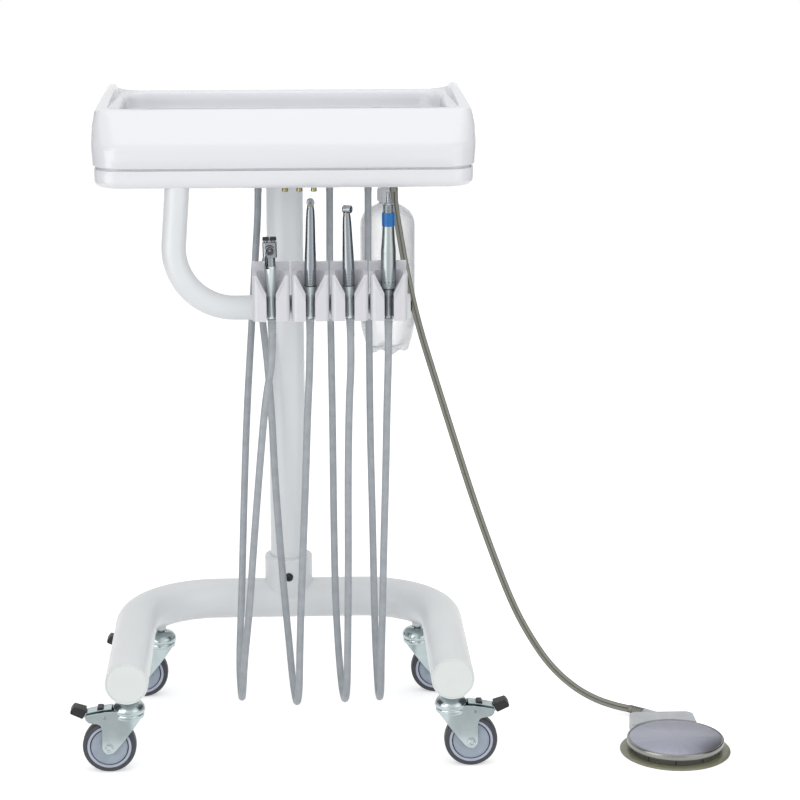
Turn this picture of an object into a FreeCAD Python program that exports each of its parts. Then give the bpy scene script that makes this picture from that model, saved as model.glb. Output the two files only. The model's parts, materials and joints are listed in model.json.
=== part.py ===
import FreeCAD, Part
import math
import os
from FreeCAD import Vector as V

# Portable dental unit on four castors.  Millimetres, X to the right, Y to the back, Z up.
# The origin is on the floor under the axis of the column.

# ---- reach of cutting tools, past every solid
FAR = 1200.0

# ---- base tube
TUBE_R = 30.0
TUBE_WALL = 2.5
TUBE_Z = 140.0
LEG_X = 226.0
LEG_FRONT_Y = -365.0
BEND_R = 118.0
CAP_THICK = 3.0
CAP_PLUG = 12.0

# ---- column and its socket
COLUMN_R = 27.0
COLUMN_WALL = 2.5
SOCKET_R = 36.0
SOCKET_TOP = 210.0
SOCKET_SEAT = 172.0
SOCKET_TAPER_Z = 165.0
COLUMN_CLEAR = 0.05
FLANGE_HALF = 48.0
FLANGE_BACK = 28.0
FLANGE_CORNER = 12.0
FLANGE_T = 5.0
SET_SCREW_R = 6.5
SET_SCREW_Z = 177.0
SET_SCREW_HEAD = 2.5

# ---- castors: place of each kingpin, direction of trail, brake or not
FRONT_STEM = (226.0, -331.0)
REAR_STEM = (194.3, -37.5)
STEM_R = 5.5
STEM_TOP = 128.0
STEM_HEAD_R = 9.0
STEM_HEAD_Z = 74.0
BOSS_R = 8.0
BOSS_BOTTOM = 104.0
SWIVEL_CLEAR = 0.06
DOME_R = 23.0
DOME_RING_IN = 1.5
DOME_TOP = 102.0
CROWN_Z = 79.0
CROWN_T = 4.0
CROWN_END = 27.0
FORK_T = 2.4
FORK_INNER = 13.6
TRAIL = 28.0
WHEEL_R = 37.5
TREAD_W = 22.0
HUB_R = 31.5
HUB_W = 24.0
HUB_GROOVE_R = 26.0
HUB_GROOVE_W = 1.6
HUB_GROOVE_DEPTH = 1.0
AXLE_R = 4.0
AXLE_HEAD_R = 7.0
AXLE_HEAD_T = 3.0
AXLE_CLEAR = 0.05
BRAKE_PIVOT = (33.0, 83.0)
BRAKE_W = 20.0
BRAKE_PIN_R = 2.5
BRAKE_HUB_R = 4.0

# ---- head
PAN_HALF = 267.0
PAN_FRONT = -171.0
PAN_REAR = 127.0
PAN_CORNER = 42.0
PAN_BOTTOM = 797.0
PAN_TOP = 823.0
PAN_EDGE_R = 10.0
WALL = 3.0
LIP_INSET = 4.5
LIP_TOP = 832.0
PLATE_HALF = 200.0
PLATE_FRONT = -160.0
PLATE_REAR = 118.0
PLATE_T = 3.0
PLATE_TOP = PAN_BOTTOM + WALL + PLATE_T
COVER_GAP = 3.0
COVER_OVERHANG = 4.0
CREASE_RISE = 32.0
RIM_RISE = 77.0
RIM_Z = PAN_TOP + RIM_RISE
RECESS_HALF = 232.0
RECESS_FRONT = -97.0
RECESS_REAR = 106.0
RECESS_CORNER = 50.0
RECESS_DEPTH = 24.0
RECESS_FLOOR = RIM_Z - RECESS_DEPTH
# Rounding of the recess rim: depth below the rim, and how far out the wall has run.
RIM_ROUND = ((9.0, 0.0), (6.0, 1.0), (3.0, 3.0), (0.8, 6.5), (0.0, 8.0))
CHEEK_INNER = 243.0
CHEEK_CLEAR = 2.5
LINER_T = 1.5
LINER_GAP = 0.4
LINER_HALF = CHEEK_INNER - CHEEK_CLEAR
LINER_FRONT = -107.0
LINER_REAR = 122.0
LINER_EDGE = 9.0
POST_R = 8.0
POST_X = 185.0
POST_FRONT = -130.0
POST_REAR = 96.0
SCREW_R = 2.5
SCREW_HEAD_R = 4.5
SCREW_HEAD_T = 3.0
SCREW_GRIP = 20.0
SCREW_SPARE = 4.0
NUT_T = 4.0
FLANGE_SCREW_INSET = 11.0

# ---- hose passages through the pan
GLAND_R = 9.0
GLAND_BODY = 12.0
GLAND_NECK_R = 6.0
GLAND_NECK = 10.0
EXIT_Y = 38.0
EXIT_X = (-39.0, 9.8, 67.0, 124.0)
FOOT_EXIT = (162.0, 35.0)
INLET_X = (0.7, 21.3, 42.0)
INLET_Y = -80.0
INLET_R = 4.4
INLET_BOTTOM = 786.0
INLET_BORE = 2.0
INLET_HEX = 6.5
INLET_HEX_T = 2.0

# ---- inside the head
BLOCK_SIZE = (150.0, 46.0, 30.0)
BLOCK_AT = (20.0, -100.0)
RELAY_R = 13.0
RELAY_H = 14.0
REGULATOR_AT = (-130.0, -90.0)
REGULATOR_R = 19.0
REGULATOR_H = 55.0

# ---- bent tube and holders
BAR_R = 17.5
BAR_WALL = 2.0
BAR_Y = -150.0
BAR_Z = 624.0
BAR_TOP_X = -150.5
BAR_CORNER_X = -164.0
BAR_END_X = 177.0
BAR_BEND_R = 85.0
BAR_TOP_Z = 800.0
BAR_SCREW_HEAD_R = 8.0
BAR_SCREW_HEAD_T = 3.0
BAR_SCREW_R = 4.0
BAR_SCREW_IN = 10.0
HOLD_X0 = -20.6
HOLD_PITCH = 54.9
HOLD_HALF = 26.0
HOLD_FRONT = -222.0
HOLD_BACK = -150.0
HOLD_LOW = 618.0
HOLD_HEIGHT = 65.0
HOLD_RIM = HOLD_LOW + HOLD_HEIGHT
HOLD_PLATE_TOP = HOLD_RIM + 11.0
HOLD_PLATE_BACK = -167.0
HOLD_PLATE_FRONT = -177.0
HOLD_HOOK = 4.0
SLOT_HALF = 6.6
VEE_Z = HOLD_RIM - 27.0
VEE_HALF = 20.0
VEE_CHAMFER = 4.5
CUP_Y = -196.0
BORE_R = 6.6
CONE_Z = HOLD_RIM - 32.0
CONE_TOP_R = 20.0
SEAT_GAP = 0.03
TAIL_Z = CONE_Z - 34.0
LEAN = (1.0, -0.6, 1.6, 0.0)

# ---- handpieces (heights in the upright frame of the holder)
SEAT_R = 7.2
TAIL_R = 4.8
COUPLING_TOP = CONE_Z + 13.0
TURBINE_HEAD_Z = (CONE_Z + 131.0, CONE_Z + 121.0)
TURBINE_HEAD_TURN = (0.0, 65.0)
TURBINE_HEAD_R = 5.6
TURBINE_HEAD_L = 13.0
BUR_R = 0.8
BUR_DEPTH = 10.0
SYRINGE_SHOULDER = CONE_Z + 41.0
SYRINGE_R = 8.6
SYRINGE_BLOCK_LOW = SYRINGE_SHOULDER + 13.0
SYRINGE_BLOCK_TOP = SYRINGE_BLOCK_LOW + 21.5
SYRINGE_HEAD_Z = SYRINGE_BLOCK_LOW + 11.0
SYRINGE_CLIP_LOW = SYRINGE_SHOULDER - 2.0
NUT_R = 6.6
NUT_L = 7.0
TIP_BORE = 1.9
BUTTON_TOP = SYRINGE_BLOCK_TOP + 6.5
BUTTON_TRAVEL = 2.0
MOTOR_SEAT_R = 10.6
MOTOR_TOP = CONE_Z + 97.0

# ---- hoses
HOSE_R = 5.25
FOOT_HOSE_R = 5.0
SEAL_GAP = 0.3

# ---- bottle
BOTTLE_AT = (155.0, 85.0)
BOTTLE_R = 42.0
BOTTLE_LOW = 505.0
BOTTLE_WALL = 1.2
BOTTLE_NECK_R = 12.5
BOTTLE_NECK_TOP = 752.0
BOTTLE_CAP_R = 15.5
BOTTLE_CAP_LOW = 735.0
BOTTLE_CAP_CLEAR = 0.5
DIP_R = 3.0

# ---- foot control
PEDAL_AT = (551.0, -298.0)
PEDAL_FLANGE_R = 79.0
PEDAL_FLANGE_T = 3.0
DRUM_R = 65.0
DRUM_WALL = 4.0
DRUM_TOP = 13.0
DISC_R = 69.3
DISC_WALL = 2.5
DISC_TOP = 20.0
DISC_RIM = 11.0
DISC_T = 2.0
PEDAL_STEM_R = 6.0
PEDAL_STEM_LOW = 10.0
PEDAL_VALVE_R = 16.0
PEDAL_TRAVEL = 4.0
VALVE_SPARE = 2.0
HOUSING = (497.0, 591.0, -232.0, -197.0)
HOUSING_TOP = 20.0
HOUSING_CORNER = 12.0
FOOT_GLAND_R = 7.0
FOOT_GLAND_L = 36.0


# ------------------------------------------------------------------ helpers
def cyl(radius, z0, z1, x=0.0, y=0.0):
    return Part.makeCylinder(radius, z1 - z0, V(x, y, z0))


def cyl_y(radius, y0, y1, x, z):
    return Part.makeCylinder(radius, y1 - y0, V(x, y0, z), V(0, 1, 0))


def box(x0, x1, y0, y1, z0, z1):
    return Part.makeBox(x1 - x0, y1 - y0, z1 - z0, V(x0, y0, z0))


def ring(outer, inner, z0, z1, x=0.0, y=0.0):
    return cyl(outer, z0, z1, x, y).cut(cyl(inner, z0 - 1, z1 + 1, x, y))


def revolve(profile, x=0.0, y=0.0):
    """Solid of revolution about a vertical axis from (radius, z) points."""
    points = [V(r, 0, z) for r, z in profile]
    face = Part.Face(Part.makePolygon(points + [points[0]]))
    solid = face.revolve(V(0, 0, 0), V(0, 0, 1), 360)
    solid.translate(V(x, y, 0))
    return solid


def rounded_wire(x0, x1, y0, y1, r, z):
    """Closed rounded rectangle at height z."""
    k = r * (1 - math.sqrt(0.5))
    edges = []
    corners = [(x1, y0), (x1, y1), (x0, y1), (x0, y0)]
    sign = [(-1, 1), (-1, -1), (1, -1), (1, 1)]
    starts = [V(x1 - r, y0, z), V(x1, y1 - r, z), V(x0 + r, y1, z), V(x0, y0 + r, z)]
    ends = [V(x1, y0 + r, z), V(x1 - r, y1, z), V(x0, y1 - r, z), V(x0 + r, y0, z)]
    for i in range(4):
        mid = V(corners[i][0] + sign[i][0] * k, corners[i][1] + sign[i][1] * k, z)
        edges.append(Part.Arc(starts[i], mid, ends[i]).toShape())
        edges.append(Part.LineSegment(ends[i], starts[(i + 1) % 4]).toShape())
    return Part.Wire(edges)


def rounded_box(x0, x1, y0, y1, r, z0, z1):
    face = Part.Face(rounded_wire(x0, x1, y0, y1, r, z0))
    return face.extrude(V(0, 0, z1 - z0))


def side_prism(points, x0, x1):
    """Prism along X from (y, z) points."""
    poly = [V(x0, y, z) for y, z in points]
    face = Part.Face(Part.makePolygon(poly + [poly[0]]))
    return face.extrude(V(x1 - x0, 0, 0))


def front_prism(points, y0, y1):
    """Prism along Y from (x, z) points."""
    poly = [V(x, y0, z) for x, z in points]
    face = Part.Face(Part.makePolygon(poly + [poly[0]]))
    return face.extrude(V(0, y1 - y0, 0))


def fuse(shapes):
    result = shapes[0]
    for shape in shapes[1:]:
        result = result.fuse(shape)
    return result.removeSplitter()


def cut_all(shape, tools):
    for tool in tools:
        shape = shape.cut(tool)
    return shape


def turned(shape, angle, x=0.0, y=0.0):
    shape.rotate(V(x, y, 0), V(0, 0, 1), angle)
    return shape


def path(points, name, radius=None):
    """Wire of straight runs joined by tangent arcs; prints the arc radii."""
    edges = []
    radii = []
    last = points[0]
    for i in range(1, len(points) - 1):
        a, b, c = points[i - 1], points[i], points[i + 1]
        into = (b - a).normalize()
        out = (c - b).normalize()
        half = into.getAngle(out) / 2
        shorter = min((b - a).Length, (c - b).Length)
        setback = 0.45 * shorter
        if radius:
            setback = radius * math.tan(half)
        radii.append(setback / math.tan(half))
        start = b - into * setback
        end = b + out * setback
        inward = (out - into).normalize()
        rise = radii[-1] * (1 / math.cos(half) - 1)
        edges.append(Part.LineSegment(last, start).toShape())
        edges.append(Part.Arc(start, b + inward * rise, end).toShape())
        last = end
    edges.append(Part.LineSegment(last, points[-1]).toShape())
    wire = Part.Wire(edges)
    print(name, "length", round(wire.Length), "arc radii", [round(r) for r in radii])
    return wire


def tube_along(wire, points, radius):
    direction = points[1] - points[0]
    circle = Part.Circle(points[0], direction, radius)
    return wire.makePipeShell([Part.Wire(circle.toShape())], True, False)


def save(name, shape):
    if not shape.isValid():
        print("INVALID", name)
    solids = len(shape.Solids)
    size = shape.BoundBox
    print(name, solids, round(size.XLength, 1), round(size.YLength, 1), round(size.ZLength, 1))
    shape.exportStep("parts/" + name + ".step")


# ------------------------------------------------------------------ base
def base_points():
    return [V(-LEG_X, LEG_FRONT_Y, TUBE_Z), V(-LEG_X, 0, TUBE_Z),
            V(LEG_X, 0, TUBE_Z), V(LEG_X, LEG_FRONT_Y, TUBE_Z)]


def stem_places():
    fx, fy = FRONT_STEM
    rx, ry = REAR_STEM
    return {"front_left": (-fx, fy), "front_right": (fx, fy),
            "rear_left": (-rx, ry), "rear_right": (rx, ry)}


def base_frame():
    points = base_points()
    wire = path(points, "base tube", BEND_R)
    outer = tube_along(wire, points, TUBE_R)
    inner = tube_along(wire, points, TUBE_R - TUBE_WALL)
    socket = fuse([cyl(SOCKET_R, SOCKET_TAPER_Z, SOCKET_TOP),
                   Part.makeCone(TUBE_R, SOCKET_R, SOCKET_TAPER_Z - TUBE_Z, V(0, 0, TUBE_Z))])
    bosses = [cyl(BOSS_R, BOSS_BOTTOM, TUBE_Z, x, y) for x, y in stem_places().values()]
    frame = fuse([outer, socket] + bosses)
    frame = frame.cut(inner.cut(cyl(SOCKET_R - WALL, 0, SOCKET_SEAT)))
    frame = cut_all(frame, [cyl(STEM_R, 0, STEM_TOP, x, y) for x, y in stem_places().values()])
    frame = frame.cut(cyl(COLUMN_R + COLUMN_CLEAR, SOCKET_SEAT, SOCKET_TOP + 1))
    screw = cyl_y(SET_SCREW_R, -SOCKET_R - 10, 0, 0, SET_SCREW_Z + SET_SCREW_R)
    return frame.cut(screw)


def end_caps():
    caps = []
    for side in (-1, 1):
        x = side * LEG_X
        disc = cyl_y(TUBE_R, LEG_FRONT_Y - CAP_THICK, LEG_FRONT_Y, x, TUBE_Z)
        plug = cyl_y(TUBE_R - TUBE_WALL, LEG_FRONT_Y, LEG_FRONT_Y + CAP_PLUG, x, TUBE_Z)
        caps.append(fuse([disc, plug]))
    return Part.makeCompound(caps)


def column():
    tube = ring(COLUMN_R, COLUMN_R - COLUMN_WALL, SOCKET_SEAT, PAN_BOTTOM - FLANGE_T)
    flange = rounded_box(-FLANGE_HALF, FLANGE_HALF, -FLANGE_HALF, FLANGE_BACK, FLANGE_CORNER,
                         PAN_BOTTOM - FLANGE_T, PAN_BOTTOM)
    flange = flange.cut(cyl(COLUMN_R - COLUMN_WALL, 0, FAR))
    flange = cut_all(flange, [cyl(SCREW_R, 0, FAR, x, y) for x, y in flange_screw_places()])
    return fuse([tube, flange])


def set_screw():
    z = SET_SCREW_Z + SET_SCREW_R
    body = cyl_y(SET_SCREW_R, -SOCKET_R - SET_SCREW_HEAD, 0, 0, z)
    body = body.cut(cyl(COLUMN_R, 0, FAR))
    socket = cyl_y(SET_SCREW_R / 2, -SOCKET_R - SET_SCREW_HEAD - 1, -SOCKET_R, 0, z)
    return body.cut(socket)


# ------------------------------------------------------------------ castors
def castor_stems():
    stems = []
    for x, y in stem_places().values():
        pin = cyl(STEM_R, STEM_HEAD_Z, STEM_TOP, x, y)
        head = cyl(STEM_HEAD_R, STEM_HEAD_Z, CROWN_Z - SEAL_GAP, x, y)
        stems.append(fuse([pin, head]))
    return Part.makeCompound(stems)


def fork_leg(y0):
    outline = [(-18, CROWN_Z), (-9, 67), (TRAIL - 10, 34), (TRAIL - 5, 29), (TRAIL + 3, 28),
               (TRAIL + 8, 34), (TRAIL + 9, 44), (TRAIL + 8, 66), (36, 72), (36, CROWN_Z)]
    return front_prism(outline, y0, y0 + FORK_T)


def fork(brake):
    """Fork with its domed swivel housing, trailing towards +X, kingpin at the origin."""
    ring_r = DOME_R - DOME_RING_IN
    dome = revolve([(0, CROWN_Z), (ring_r, CROWN_Z), (ring_r, CROWN_Z + 6),
                    (ring_r - 0.8, CROWN_Z + 7), (DOME_R, CROWN_Z + 9), (DOME_R, DOME_TOP - 9),
                    (DOME_R - 2, DOME_TOP - 5), (DOME_R - 6, DOME_TOP - 1.5),
                    (DOME_R - 11, DOME_TOP), (0, DOME_TOP)])
    crown = box(-20, CROWN_END, -FORK_INNER - FORK_T, FORK_INNER + FORK_T, CROWN_Z, CROWN_Z + CROWN_T)
    legs = [fork_leg(-FORK_INNER - FORK_T), fork_leg(FORK_INNER)]
    parts = [dome, crown] + legs
    if brake:
        parts += brake_ears()
    body = fuse(parts)
    body = body.cut(cyl(STEM_R + SWIVEL_CLEAR, 0, FAR))
    if brake:
        body = body.cut(cyl_y(BRAKE_PIN_R, -FAR, FAR, BRAKE_PIVOT[0], BRAKE_PIVOT[1]))
    return body.cut(cyl_y(AXLE_R, -FAR, FAR, TRAIL, WHEEL_R))


def brake_ears():
    ears = []
    for y in (-FORK_INNER - FORK_T, FORK_INNER):
        outline = [(14, CROWN_Z - 1), (35, 68), (39, 73), (49, 75.5), (56, 76), (60, 80),
                   (60, 86), (34, 91), (14, 92)]
        ears.append(front_prism(outline, y, y + FORK_T))
    return ears


def brake_lever():
    """Brake pedal trailing towards +X; it turns about its pin between the ears."""
    px, pz = BRAKE_PIVOT
    half = FORK_INNER - SEAL_GAP
    arm = front_prism([(DOME_R + 2, 88), (px - 3, pz - 3.5), (px + 5, pz - 4.5), (60, 81),
                       (64.5, 77.5), (82.5, 89), (76, 100), (58.5, 94.5), (43.5, 91.5),
                       (43.5, 97.5), (35, 97.5), (35, 93), (DOME_R + 2, 95.5)],
                      -BRAKE_W / 2, BRAKE_W / 2)
    pin = cyl_y(BRAKE_PIN_R - SWIVEL_CLEAR, -FORK_INNER - FORK_T, FORK_INNER + FORK_T, px, pz)
    hub = cyl_y(BRAKE_HUB_R, -half, half, px, pz)
    return fuse([arm, hub, pin])


def tyre():
    profile = [(HUB_R, -TREAD_W / 2), (35.5, -TREAD_W / 2), (37, -9), (WHEEL_R, -6),
               (WHEEL_R, 6), (37, 9), (35.5, TREAD_W / 2), (HUB_R, TREAD_W / 2)]
    return wheel_place(revolve(profile))


def hub():
    half = HUB_W / 2
    profile = [(AXLE_R + AXLE_CLEAR, -half), (10, -half), (10, -half + 1), (HUB_R, -half + 2),
               (HUB_R, half - 2), (10, half - 1), (10, half), (AXLE_R + AXLE_CLEAR, half)]
    body = revolve(profile)
    depth = 2 + HUB_GROOVE_DEPTH
    for z in (-half, half - depth):
        body = body.cut(ring(HUB_GROOVE_R + HUB_GROOVE_W, HUB_GROOVE_R, z, z + depth))
    return wheel_place(body)


def wheel_place(shape):
    shape.rotate(V(0, 0, 0), V(1, 0, 0), 90)
    shape.translate(V(TRAIL, 0, WHEEL_R))
    return shape


def axle():
    outer = FORK_INNER + FORK_T
    pin = cyl_y(AXLE_R, -outer, outer, TRAIL, WHEEL_R)
    heads = [cyl_y(AXLE_HEAD_R, -outer - AXLE_HEAD_T, -outer, TRAIL, WHEEL_R),
             cyl_y(AXLE_HEAD_R, outer, outer + AXLE_HEAD_T, TRAIL, WHEEL_R)]
    return fuse([pin] + heads)


def castors():
    for name, (x, y) in stem_places().items():
        angle = 0 if x > 0 else 180
        braked = name != "rear_right"
        pieces = {"fork": fork(braked), "tyre": tyre(), "hub": hub(), "axle": axle()}
        if braked:
            pieces["brake"] = brake_lever()
        for piece, shape in pieces.items():
            turned(shape, angle)
            shape.translate(V(x, y, 0))
            save(name + "_" + piece, shape)


# ------------------------------------------------------------------ head
def flange_screw_places():
    x = FLANGE_HALF - FLANGE_SCREW_INSET
    rows = (-FLANGE_HALF + FLANGE_SCREW_INSET, FLANGE_BACK - FLANGE_SCREW_INSET)
    return [(side * x, y) for side in (-1, 1) for y in rows]


def post_places():
    return [(sx * POST_X, y) for sx in (-1, 1) for y in (POST_FRONT, POST_REAR)]


# Cover outlines from the lower edge up: height, then how far the sides, the front and the
# rear lie inside the widest outline, then the corner radius.
COVER_STEPS = (
    (PAN_TOP + COVER_GAP, 1.5, 2.0, 2.0, 40.0),
    (PAN_TOP + COVER_GAP + CREASE_RISE, 0.0, 0.0, 0.0, 42.0),
    (RIM_Z - 20.0, 1.0, 33.0, 0.0, 42.0),
    (RIM_Z, 5.0, 65.0, 1.0, 38.0),
    (RIM_Z + 12.0, 12.0, 77.0, 2.0, 34.0),
    (RIM_Z + 23.0, 23.0, 85.0, 4.0, 30.0))

# Side view of the cheeks: depth, and height over the rim.
CREST = ((-110.0, 0.0), (-70.0, 9.0), (-30.0, 17.0), (10.0, 21.0), (40.0, 20.0), (75.0, 14.0),
         (105.0, 6.0), (122.0, 0.0))


def head_levels(wall):
    """Rounded outlines of the cover from its lower edge to the crest of the cheeks."""
    half = PAN_HALF + COVER_OVERHANG - wall
    front = PAN_FRONT - COVER_OVERHANG + wall
    rear = PAN_REAR + COVER_OVERHANG - wall
    wires = []
    for z, side_in, front_in, rear_in, corner in COVER_STEPS:
        wires.append(rounded_wire(-half + side_in, half - side_in, front + front_in,
                                  rear - rear_in, corner - wall, z))
    return wires


def over_crest():
    """Everything above the cheeks, as (y, z) points of its side view."""
    crest = [(y, RIM_Z + rise) for y, rise in CREST]
    return [(-FAR, RIM_Z)] + crest + [(FAR, RIM_Z), (FAR, FAR), (-FAR, FAR)]


def recess_shape(inset, lift):
    """The recess up to its rounded rim, drawn in all round by the inset and raised."""
    x = RECESS_HALF - inset
    y0 = RECESS_FRONT + inset
    y1 = RECESS_REAR - inset
    corner = RECESS_CORNER - inset
    shoulder = RIM_Z - RIM_ROUND[0][0] + lift
    well = rounded_box(-x, x, y0, y1, corner, RECESS_FLOOR + lift, shoulder)
    wires = [rounded_wire(-x - out, x + out, y0 - out, y1 + out, corner + out, RIM_Z - depth + lift)
             for depth, out in RIM_ROUND]
    return fuse([well, Part.makeLoft(wires, True, True)])


def front_post_top():
    return PAN_TOP + CREASE_RISE


def head_cover():
    outer = Part.makeLoft(head_levels(0), True, True)
    outer = outer.cut(side_prism(over_crest(), -FAR, FAR))
    outer = outer.cut(box(-CHEEK_INNER, CHEEK_INNER, -FAR, FAR, RIM_Z, FAR))
    hollow = Part.makeLoft(head_levels(WALL), True, True)
    hollow = hollow.cut(box(-FAR, FAR, -FAR, FAR, RIM_Z - WALL, FAR))
    hollow = hollow.cut(recess_shape(-WALL, -WALL))
    cover = outer.cut(recess_shape(0, 0)).cut(hollow)
    for x, y in post_places():
        post = cyl(POST_R, PLATE_TOP, RECESS_FLOOR - WALL / 2, x, y)
        if y < RECESS_FRONT:
            post = cyl(POST_R, PLATE_TOP, front_post_top(), x, y)
            post = fuse([post, cyl(POST_R, front_post_top() - WALL, RIM_Z, x, y).common(outer)])
        cover = cover.fuse(post)
    cover = cut_all(cover, [cyl(SCREW_R, 0, PLATE_TOP + SCREW_GRIP, x, y)
                            for x, y in post_places()])
    return cover.removeSplitter()


def passages():
    """Holes through the floor of the pan and the plate above it."""
    holes = [cyl(GLAND_NECK_R, 0, FAR, x, EXIT_Y) for x in EXIT_X]
    holes.append(cyl(GLAND_NECK_R, 0, FAR, FOOT_EXIT[0], FOOT_EXIT[1]))
    holes += [cyl(INLET_R, 0, FAR, x, INLET_Y) for x in INLET_X]
    holes += [cyl(SCREW_R, 0, FAR, x, y) for x, y in flange_screw_places()]
    holes += [cyl(SCREW_R, 0, FAR, x, y) for x, y in post_places()]
    holes.append(cyl(GLAND_NECK_R, 0, FAR, BOTTLE_AT[0], BOTTLE_AT[1]))
    return holes


def head_pan():
    block = rounded_box(-PAN_HALF, PAN_HALF, PAN_FRONT, PAN_REAR, PAN_CORNER, PAN_BOTTOM, PAN_TOP)
    low = [e for e in block.Edges if abs(e.CenterOfMass.z - PAN_BOTTOM) < 0.01]
    block = block.makeFillet(PAN_EDGE_R, low)
    lip = rounded_box(-PAN_HALF + LIP_INSET, PAN_HALF - LIP_INSET, PAN_FRONT + LIP_INSET,
                      PAN_REAR - LIP_INSET, PAN_CORNER - LIP_INSET, PAN_TOP - WALL, LIP_TOP)
    inset = LIP_INSET + WALL
    inner = rounded_box(-PAN_HALF + inset, PAN_HALF - inset, PAN_FRONT + inset, PAN_REAR - inset,
                        PAN_CORNER - inset, PAN_BOTTOM + WALL, FAR)
    pan = block.fuse(lip).cut(inner)
    return cut_all(pan, passages() + [bar_solid(BAR_R)]).removeSplitter()


def chassis_plate():
    low = PAN_BOTTOM + WALL
    plate = rounded_box(-PLATE_HALF, PLATE_HALF, PLATE_FRONT, PLATE_REAR, 20, low, low + PLATE_T)
    return cut_all(plate, passages())


def tray_liner():
    basin = recess_shape(LINER_GAP, 0)
    flange = rounded_box(-LINER_HALF, LINER_HALF, LINER_FRONT, LINER_REAR, RECESS_CORNER,
                         RIM_Z, RIM_Z + LINER_EDGE)
    low_inner = rounded_box(-LINER_HALF + LINER_T, LINER_HALF - LINER_T, LINER_FRONT - 1,
                            LINER_REAR - LINER_T, RECESS_CORNER - LINER_T, RIM_Z + LINER_T, FAR)
    front_gap = box(-FAR, FAR, LINER_FRONT - 1, LINER_FRONT + RECESS_CORNER + 5,
                    RIM_Z + LINER_T, FAR)
    inner = recess_shape(LINER_GAP + LINER_T, LINER_T)
    return cut_all(fuse([basin, flange]), [low_inner, front_gap, inner])


def head_screws():
    screws = []
    for x, y in post_places():
        head = cyl(SCREW_HEAD_R, PAN_BOTTOM - SCREW_HEAD_T, PAN_BOTTOM, x, y)
        shank = cyl(SCREW_R, PAN_BOTTOM, PLATE_TOP + SCREW_GRIP - SCREW_SPARE, x, y)
        screws.append(fuse([head, shank]))
    for x, y in flange_screw_places():
        low = PAN_BOTTOM - FLANGE_T
        head = cyl(SCREW_HEAD_R, low - SCREW_HEAD_T, low, x, y)
        nut_low = PLATE_TOP
        nut = cyl(SCREW_HEAD_R, nut_low, nut_low + NUT_T, x, y)
        screws.append(fuse([head, cyl(SCREW_R, low, nut_low + NUT_T + 1, x, y), nut]))
    return Part.makeCompound(screws)


def control_block():
    x, y = BLOCK_AT
    w, d, h = BLOCK_SIZE
    low = PLATE_TOP
    body = box(x - w / 2, x + w / 2, y - d / 2, y + d / 2, low, low + h)
    pitch = w / 4
    relays = [cyl(RELAY_R, low + h, low + h + RELAY_H, x + (i - 1.5) * pitch, y) for i in range(4)]
    return fuse([body] + relays)


def air_regulator():
    x, y = REGULATOR_AT
    low = PLATE_TOP
    body = box(x - 18, x + 18, y - 18, y + 18, low, low + 22)
    bonnet = Part.makeCone(REGULATOR_R - 2, REGULATOR_R - 5, REGULATOR_H - 22, V(x, y, low + 22))
    return fuse([body, bonnet])


def brass_inlets():
    inlets = []
    top = PLATE_TOP
    for x in INLET_X:
        stem = cyl(INLET_R, INLET_BOTTOM, top, x, INLET_Y)
        collar = cyl(INLET_HEX, PAN_BOTTOM - INLET_HEX_T, PAN_BOTTOM, x, INLET_Y)
        inlets.append(fuse([stem, collar]).cut(cyl(INLET_BORE, 0, top - 2, x, INLET_Y)))
    return Part.makeCompound(inlets)


def hose_glands():
    glands = []
    for x, y in [(x, EXIT_Y) for x in EXIT_X] + [FOOT_EXIT]:
        low = PAN_BOTTOM - GLAND_BODY
        body = revolve([(0, low), (GLAND_R - 2, low), (GLAND_R, PAN_BOTTOM - 4),
                        (GLAND_R, PAN_BOTTOM), (GLAND_NECK_R, PAN_BOTTOM),
                        (GLAND_NECK_R, PAN_BOTTOM + GLAND_NECK), (0, PAN_BOTTOM + GLAND_NECK)], x, y)
        glands.append(body)
    return Part.makeCompound(glands)


# ------------------------------------------------------------------ bent tube and holders
def bar_points():
    return [V(BAR_TOP_X, BAR_Y, BAR_TOP_Z), V(BAR_CORNER_X, BAR_Y, BAR_Z),
            V(BAR_END_X, BAR_Y, BAR_Z)]


def bar_solid(radius):
    points = bar_points()
    start = points[0] + (points[0] - points[1]).normalize() * 5
    points[0] = start
    wire = path(points, "bent tube", BAR_BEND_R)
    return tube_along(wire, points, radius)


def along_x(radius, x0, x1):
    return Part.makeCylinder(radius, x1 - x0, V(x0, BAR_Y, BAR_Z), V(1, 0, 0))


def holder_bar():
    end_wall = box(BAR_END_X - BAR_WALL, FAR, -FAR, FAR, 0, FAR)
    bar = bar_solid(BAR_R).cut(bar_solid(BAR_R - BAR_WALL).cut(end_wall))
    bar = bar.cut(along_x(BAR_SCREW_R, BAR_END_X - BAR_SCREW_IN, BAR_END_X + 1))
    return bar.cut(box(-FAR, FAR, -FAR, FAR, BAR_TOP_Z, FAR))


def bar_plug():
    head = along_x(BAR_SCREW_HEAD_R, BAR_END_X, BAR_END_X + BAR_SCREW_HEAD_T)
    return fuse([head, along_x(BAR_SCREW_R, BAR_END_X - BAR_SCREW_IN, BAR_END_X)])


def holder_x(index):
    return HOLD_X0 + index * HOLD_PITCH


def leaned(shape, index):
    shape.rotate(V(holder_x(index), CUP_Y, CONE_Z), V(0, 1, 0), -LEAN[index])
    return shape


def funnel(index):
    x = holder_x(index)
    bore = cyl(BORE_R, HOLD_LOW - 5, CONE_Z + 1, x, CUP_Y)
    cone = Part.makeCone(BORE_R, CONE_TOP_R, HOLD_RIM - CONE_Z, V(x, CUP_Y, CONE_Z))
    top = cyl(CONE_TOP_R, HOLD_RIM, HOLD_RIM + 30, x, CUP_Y)
    return leaned(fuse([bore, cone, top]), index)


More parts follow.
